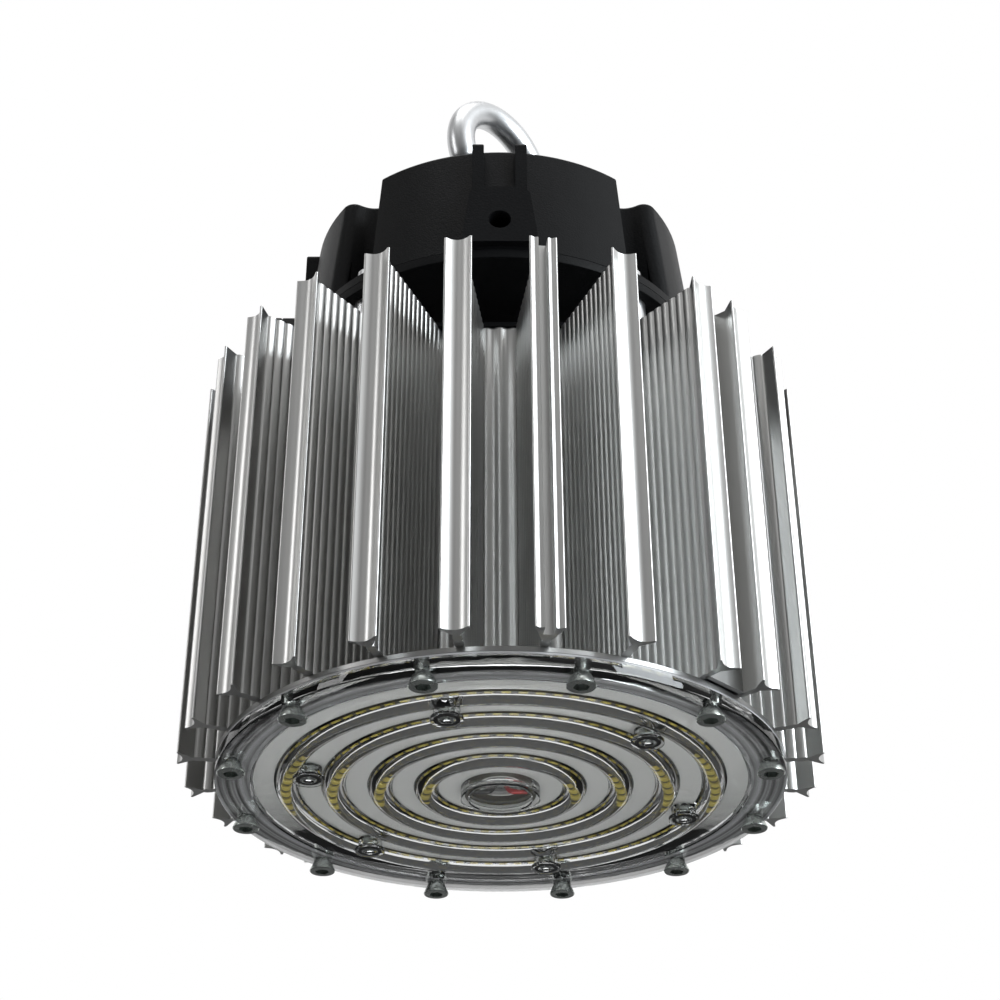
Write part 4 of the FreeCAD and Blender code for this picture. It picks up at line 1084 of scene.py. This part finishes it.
class HIGHBAY_OT_lens(Operator):
    """Build the clear lens cover and the plugs in its posts"""
    bl_idname = "high_bay.lens"
    bl_label = "Lens Cover"

    def execute(self, context):
        size = sizes("lens")
        clear = clear_polycarbonate()
        piece("clear_lens", lens_mesh(), clear, "lens_cover")
        plugs = full_ring(plug_mesh(), size.posts, size.post_angle, clear)
        piece("clear_plugs", smooth(plugs, sharp=30), clear, "post_plugs")
        return {"FINISHED"}


class HIGHBAY_OT_light_board(Operator):
    """Finish the board and build its rings of LEDs"""
    bl_idname = "high_bay.light_board"
    bl_label = "Light Board"

    def execute(self, context):
        size = sizes("lens")
        coat(white_mask(), "led_board")
        yellow = phosphor()
        for number in range(size.rings):
            radius = size.first_ring + number * size.ring_pitch
            count = round(2 * math.pi * radius / size.led_pitch)
            packages = full_ring(package_mesh(radius), count, 0, yellow)
            piece(f"packages_{number + 1}", packages, yellow, f"led_ring_{number + 1}")
        return {"FINISHED"}


class HIGHBAY_OT_leads(Operator):
    """Build the two leads from the driver to the board"""
    bl_idname = "high_bay.leads"
    bl_label = "Leads"

    def execute(self, context):
        for name, side in (("red", 1), ("black", -1)):
            jacket = moulded(f"{name}_jacket", getattr(sizes("finishes"), name), rough=0.35)
            piece(f"lead_{name}", lead_mesh(f"{name}_lead", side), jacket, f"{name}_lead")
        return {"FINISHED"}


class HIGHBAY_OT_screws(Operator):
    """Build the screws of the lens, its posts and the core"""
    bl_idname = "high_bay.screws"
    bl_label = "Lens Screws"

    def execute(self, context):
        size = sizes("screws")
        lens = sizes("lens")
        steel = plated("screw_steel", sizes("finishes").steel, least=0.18, most=0.34)
        screw = socket_screw("rim_screws", size.rim_circle, size.rim_head, size.rim_root,
                             size.rim_head_height, size.rim_shank, size.rim_socket,
                             size.rim_socket_depth)
        screws = full_ring(screw, size.rim_count, math.pi / size.rim_count, steel)
        piece("rim_cap_screws", screws, steel, "rim_screws")
        screw = socket_screw("post_screws", lens.post_circle, size.post_head, size.post_head,
                             size.post_head_height, size.post_shank, size.post_socket,
                             size.post_socket_depth)
        screws = full_ring(screw, lens.posts, lens.post_angle, steel)
        piece("post_cap_screws", screws, steel, "post_screws")
        coat(steel, "plate_screws", "bracket_screws")
        return {"FINISHED"}


class HIGHBAY_OT_housing(Operator):
    """Finish the driver housing, its lid and the mounting plate"""
    bl_idname = "high_bay.housing"
    bl_label = "Driver Housing"

    def execute(self, context):
        black = powder_coat()
        eased("driver_housing", 0.6, black)
        eased("housing_lid", 0.5, black)
        eased("mounting_plate", 0.2, black)
        return {"FINISHED"}


class HIGHBAY_OT_fixings(Operator):
    """Finish the standoffs, the housing's screws and washers and the cable gland"""
    bl_idname = "high_bay.fixings"
    bl_label = "Fixings"

    def execute(self, context):
        steel = plated("fixing_zinc", sizes("finishes").zinc, least=0.2, most=0.36)
        eased("standoffs", 0.3, steel)
        eased("housing_screws", 0.3, steel)
        eased("housing_washers", 0.2, steel)
        nylon = moulded("nylon", sizes("finishes").black, rough=0.45)
        eased("gland_body", 0.4, nylon)
        eased("gland_nut", 0.5, nylon)
        return {"FINISHED"}


class HIGHBAY_OT_hook(Operator):
    """Build the hook and finish its nuts and washer"""
    bl_idname = "high_bay.hook"
    bl_label = "Hook"

    def execute(self, context):
        darker = shaded(sizes("finishes").zinc, 0.88)
        zinc = plated("hook_zinc", darker, least=0.3, most=0.42)
        piece("bar_hook", hook_mesh(), zinc, "hook")
        eased("hook_nut", 0.5, zinc)
        eased("hook_washer", 0.3, zinc)
        coat(zinc, "hook_lock_nut")
        return {"FINISHED"}


class HIGHBAY_OT_driver(Operator):
    """Finish the driver's parts inside the housing"""
    bl_idname = "high_bay.driver"
    bl_label = "Driver"

    def execute(self, context):
        finishes = sizes("finishes")
        for name, node, rough in (("circuit", "driver_board", 0.4),
                                  ("tape", "transformer", 0.4),
                                  ("sleeve", "capacitors", 0.3),
                                  ("terminal", "terminal_block", 0.4)):
            coat(moulded(name, getattr(finishes, name), rough), node)
        coat(plated("driver_zinc", finishes.zinc, least=0.2, most=0.36), "driver_screws")
        return {"FINISHED"}


def area_light(name, place, target, width, height, power, tint=(1, 1, 1), mirrored=True):
    """A soft lamp that the camera doesn't see, aimed at a target."""
    data = bpy.data.lights.new(name, "AREA")
    data.shape = "RECTANGLE"
    data.size, data.size_y = width, height
    data.energy = power
    data.color = tint
    lamp = bpy.data.objects.new(name, data)
    lamp.location = place
    lamp.rotation_euler = (Vector(target) - Vector(place)).to_track_quat("-Z", "Y").to_euler()
    lamp.visible_camera = False
    lamp.visible_glossy = mirrored
    bpy.context.scene.collection.objects.link(lamp)


def room_ramp(room, direction, *stops):
    """A grey that follows a direction's part from -1 to 1 through (part, grey) stops."""
    across = room.node("ShaderNodeMapRange", inputs={"From Min": -1.0, "Value": direction})
    places = [((part + 1) / 2, grey) for part, grey in stops]
    return room.node("ShaderNodeValToRGB", {"stops": places}, {0: across})


def studio_world(level):
    """White behind, a white side on the right, grey on the left, dark low and in front.

    The camera sees plain white; metal and clear pieces see the white that lies behind.
    """
    world = bpy.data.worlds.new("studio")
    world.use_nodes = True
    bpy.context.scene.world = world
    room = Graph(world.node_tree)
    where = room.node("ShaderNodeTexCoord", output="Generated")
    part = room.node("ShaderNodeSeparateXYZ", inputs={"Vector": where})
    side = room_ramp(room, part["X"], (-1, 0.22), (-0.6, 0.34), (-0.3, 0.56), (-0.14, 0.42),
                     (0, 0.14), (0.15, 0.5), (0.35, 0.95))
    rise = room_ramp(room, part["Z"], (-0.1, 0.15), (0.2, 0.3), (0.55, 1))
    behind = room_ramp(room, part["Y"], (0.1, 0), (0.5, 1))
    shade = room.node("ShaderNodeMix", {"data_type": "RGBA", "blend_type": "MULTIPLY"},
                      {0: 1.0, 6: side, 7: rise}, output=2)
    grey = room.node("ShaderNodeBackground", inputs={"Color": shade, "Strength": level})
    white = room.node("ShaderNodeBackground", inputs={"Color": (1, 1, 1, 1), "Strength": 1.0})
    ray = room.node("ShaderNodeLightPath")
    seen = ray["Is Camera Ray"] + (ray["Is Glossy Ray"] + ray["Is Transmission Ray"]) * behind
    lit = room.node("ShaderNodeMixShader", inputs={"Fac": seen, 1: grey, 2: white})
    room.connect(world.node_tree.nodes["World Output"], {"Surface": lit})


def pale_floor(drop):
    finishes = sizes("finishes")
    low, reach = CAD_BOX[0][2] - drop, 4
    corners = ((-reach, -reach), (reach, -reach), (reach, reach), (-reach, reach))
    mesh = mesh_from("floor", [(x, y, low) for x, y in corners], [(0, 1, 2, 3)])
    finish = Finish("floor", roughness=0.9)
    seen = finish.node("ShaderNodeLightPath", output="Is Camera Ray")
    finish.feed("Base Color", finish.blend(seen, finishes.floor_mirrored, finishes.floor))
    mesh.materials.append(finish.material)
    floor = bpy.data.objects.new("floor", mesh)
    bpy.context.scene.collection.objects.link(floor)


class HIGHBAY_OT_stage(Operator):
    """Set the floor, the lamps and the camera"""
    bl_idname = "high_bay.stage"
    bl_label = "Stage"

    def execute(self, context):
        settings = sizes("stage")
        scene = context.scene
        scene.view_settings.view_transform = "Standard"
        foot = Vector((0, 0, levels("heat_sink")[0]))
        middle = Vector((0, 0, foot.z + 0.1))
        pale_floor(settings.floor_drop)
        studio_world(settings.surroundings)
        area_light("right_softbox", (1.3, -0.9, 0.1), middle, width=0.8, height=1.6, power=34,
                   tint=(0.9, 0.96, 1))
        area_light("left_softbox", (-1.5, -0.7, 0.2), middle, width=0.35, height=1.4, power=6)
        area_light("top_softbox", (-0.1, -0.3, 1.2), middle, width=0.9, height=0.9, power=6)
        area_light("low_softbox", (0, -0.2, -0.95), foot, width=0.8, height=0.8, power=6.5,
                   mirrored=False)
        data = bpy.data.cameras.new("camera")
        data.sensor_width = 36
        data.lens = settings.camera_lens
        data.shift_x, data.shift_y = settings.camera_shift
        camera = bpy.data.objects.new("camera", data)
        camera.location = foot + Vector(settings.camera_place)
        camera.rotation_euler = (math.pi / 2 + settings.camera_pitch, 0, 0)
        scene.collection.objects.link(camera)
        scene.camera = camera
        return {"FINISHED"}


# ---------------- panel and registration

OPERATORS = (HIGHBAY_OT_heat_sink, HIGHBAY_OT_base_plate, HIGHBAY_OT_lens,
             HIGHBAY_OT_light_board, HIGHBAY_OT_leads, HIGHBAY_OT_screws,
             HIGHBAY_OT_housing, HIGHBAY_OT_fixings, HIGHBAY_OT_hook, HIGHBAY_OT_driver,
             HIGHBAY_OT_stage)


class HighBaySettings(PropertyGroup):
    fins: PointerProperty(type=FinSizes)
    lens: PointerProperty(type=LensSizes)
    screws: PointerProperty(type=ScrewSizes)
    hook: PointerProperty(type=HookSizes)
    leads: PointerProperty(type=LeadSizes)
    finishes: PointerProperty(type=Finishes)
    stage: PointerProperty(type=StageSettings)


class HIGHBAY_PT_panel(Panel):
    """Lists the light's pieces in the order in which they are built"""
    bl_idname = "HIGHBAY_PT_panel"
    bl_label = "High Bay Light"
    bl_space_type = "VIEW_3D"
    bl_region_type = "UI"
    bl_category = "High Bay"

    def draw(self, context):
        for operator in OPERATORS:
            self.layout.operator(operator.bl_idname)
        for group in HighBaySettings.__annotations__:
            column = self.layout.column(heading=group.title())
            settings = getattr(context.scene.high_bay, group)
            for name in settings.__annotations__:
                column.prop(settings, name)


CLASSES = (FinSizes, LensSizes, ScrewSizes, HookSizes, LeadSizes, Finishes, StageSettings,
           HighBaySettings, *OPERATORS, HIGHBAY_PT_panel)


def register():
    for kind in CLASSES:
        bpy.utils.register_class(kind)
    bpy.types.Scene.high_bay = PointerProperty(type=HighBaySettings)


def unregister():
    del bpy.types.Scene.high_bay
    for kind in reversed(CLASSES):
        bpy.utils.unregister_class(kind)


def main():
    register()
    for operator in OPERATORS:
        group, name = operator.bl_idname.split(".")
        getattr(getattr(bpy.ops, group), name)()


if __name__ == "__main__":
    main()
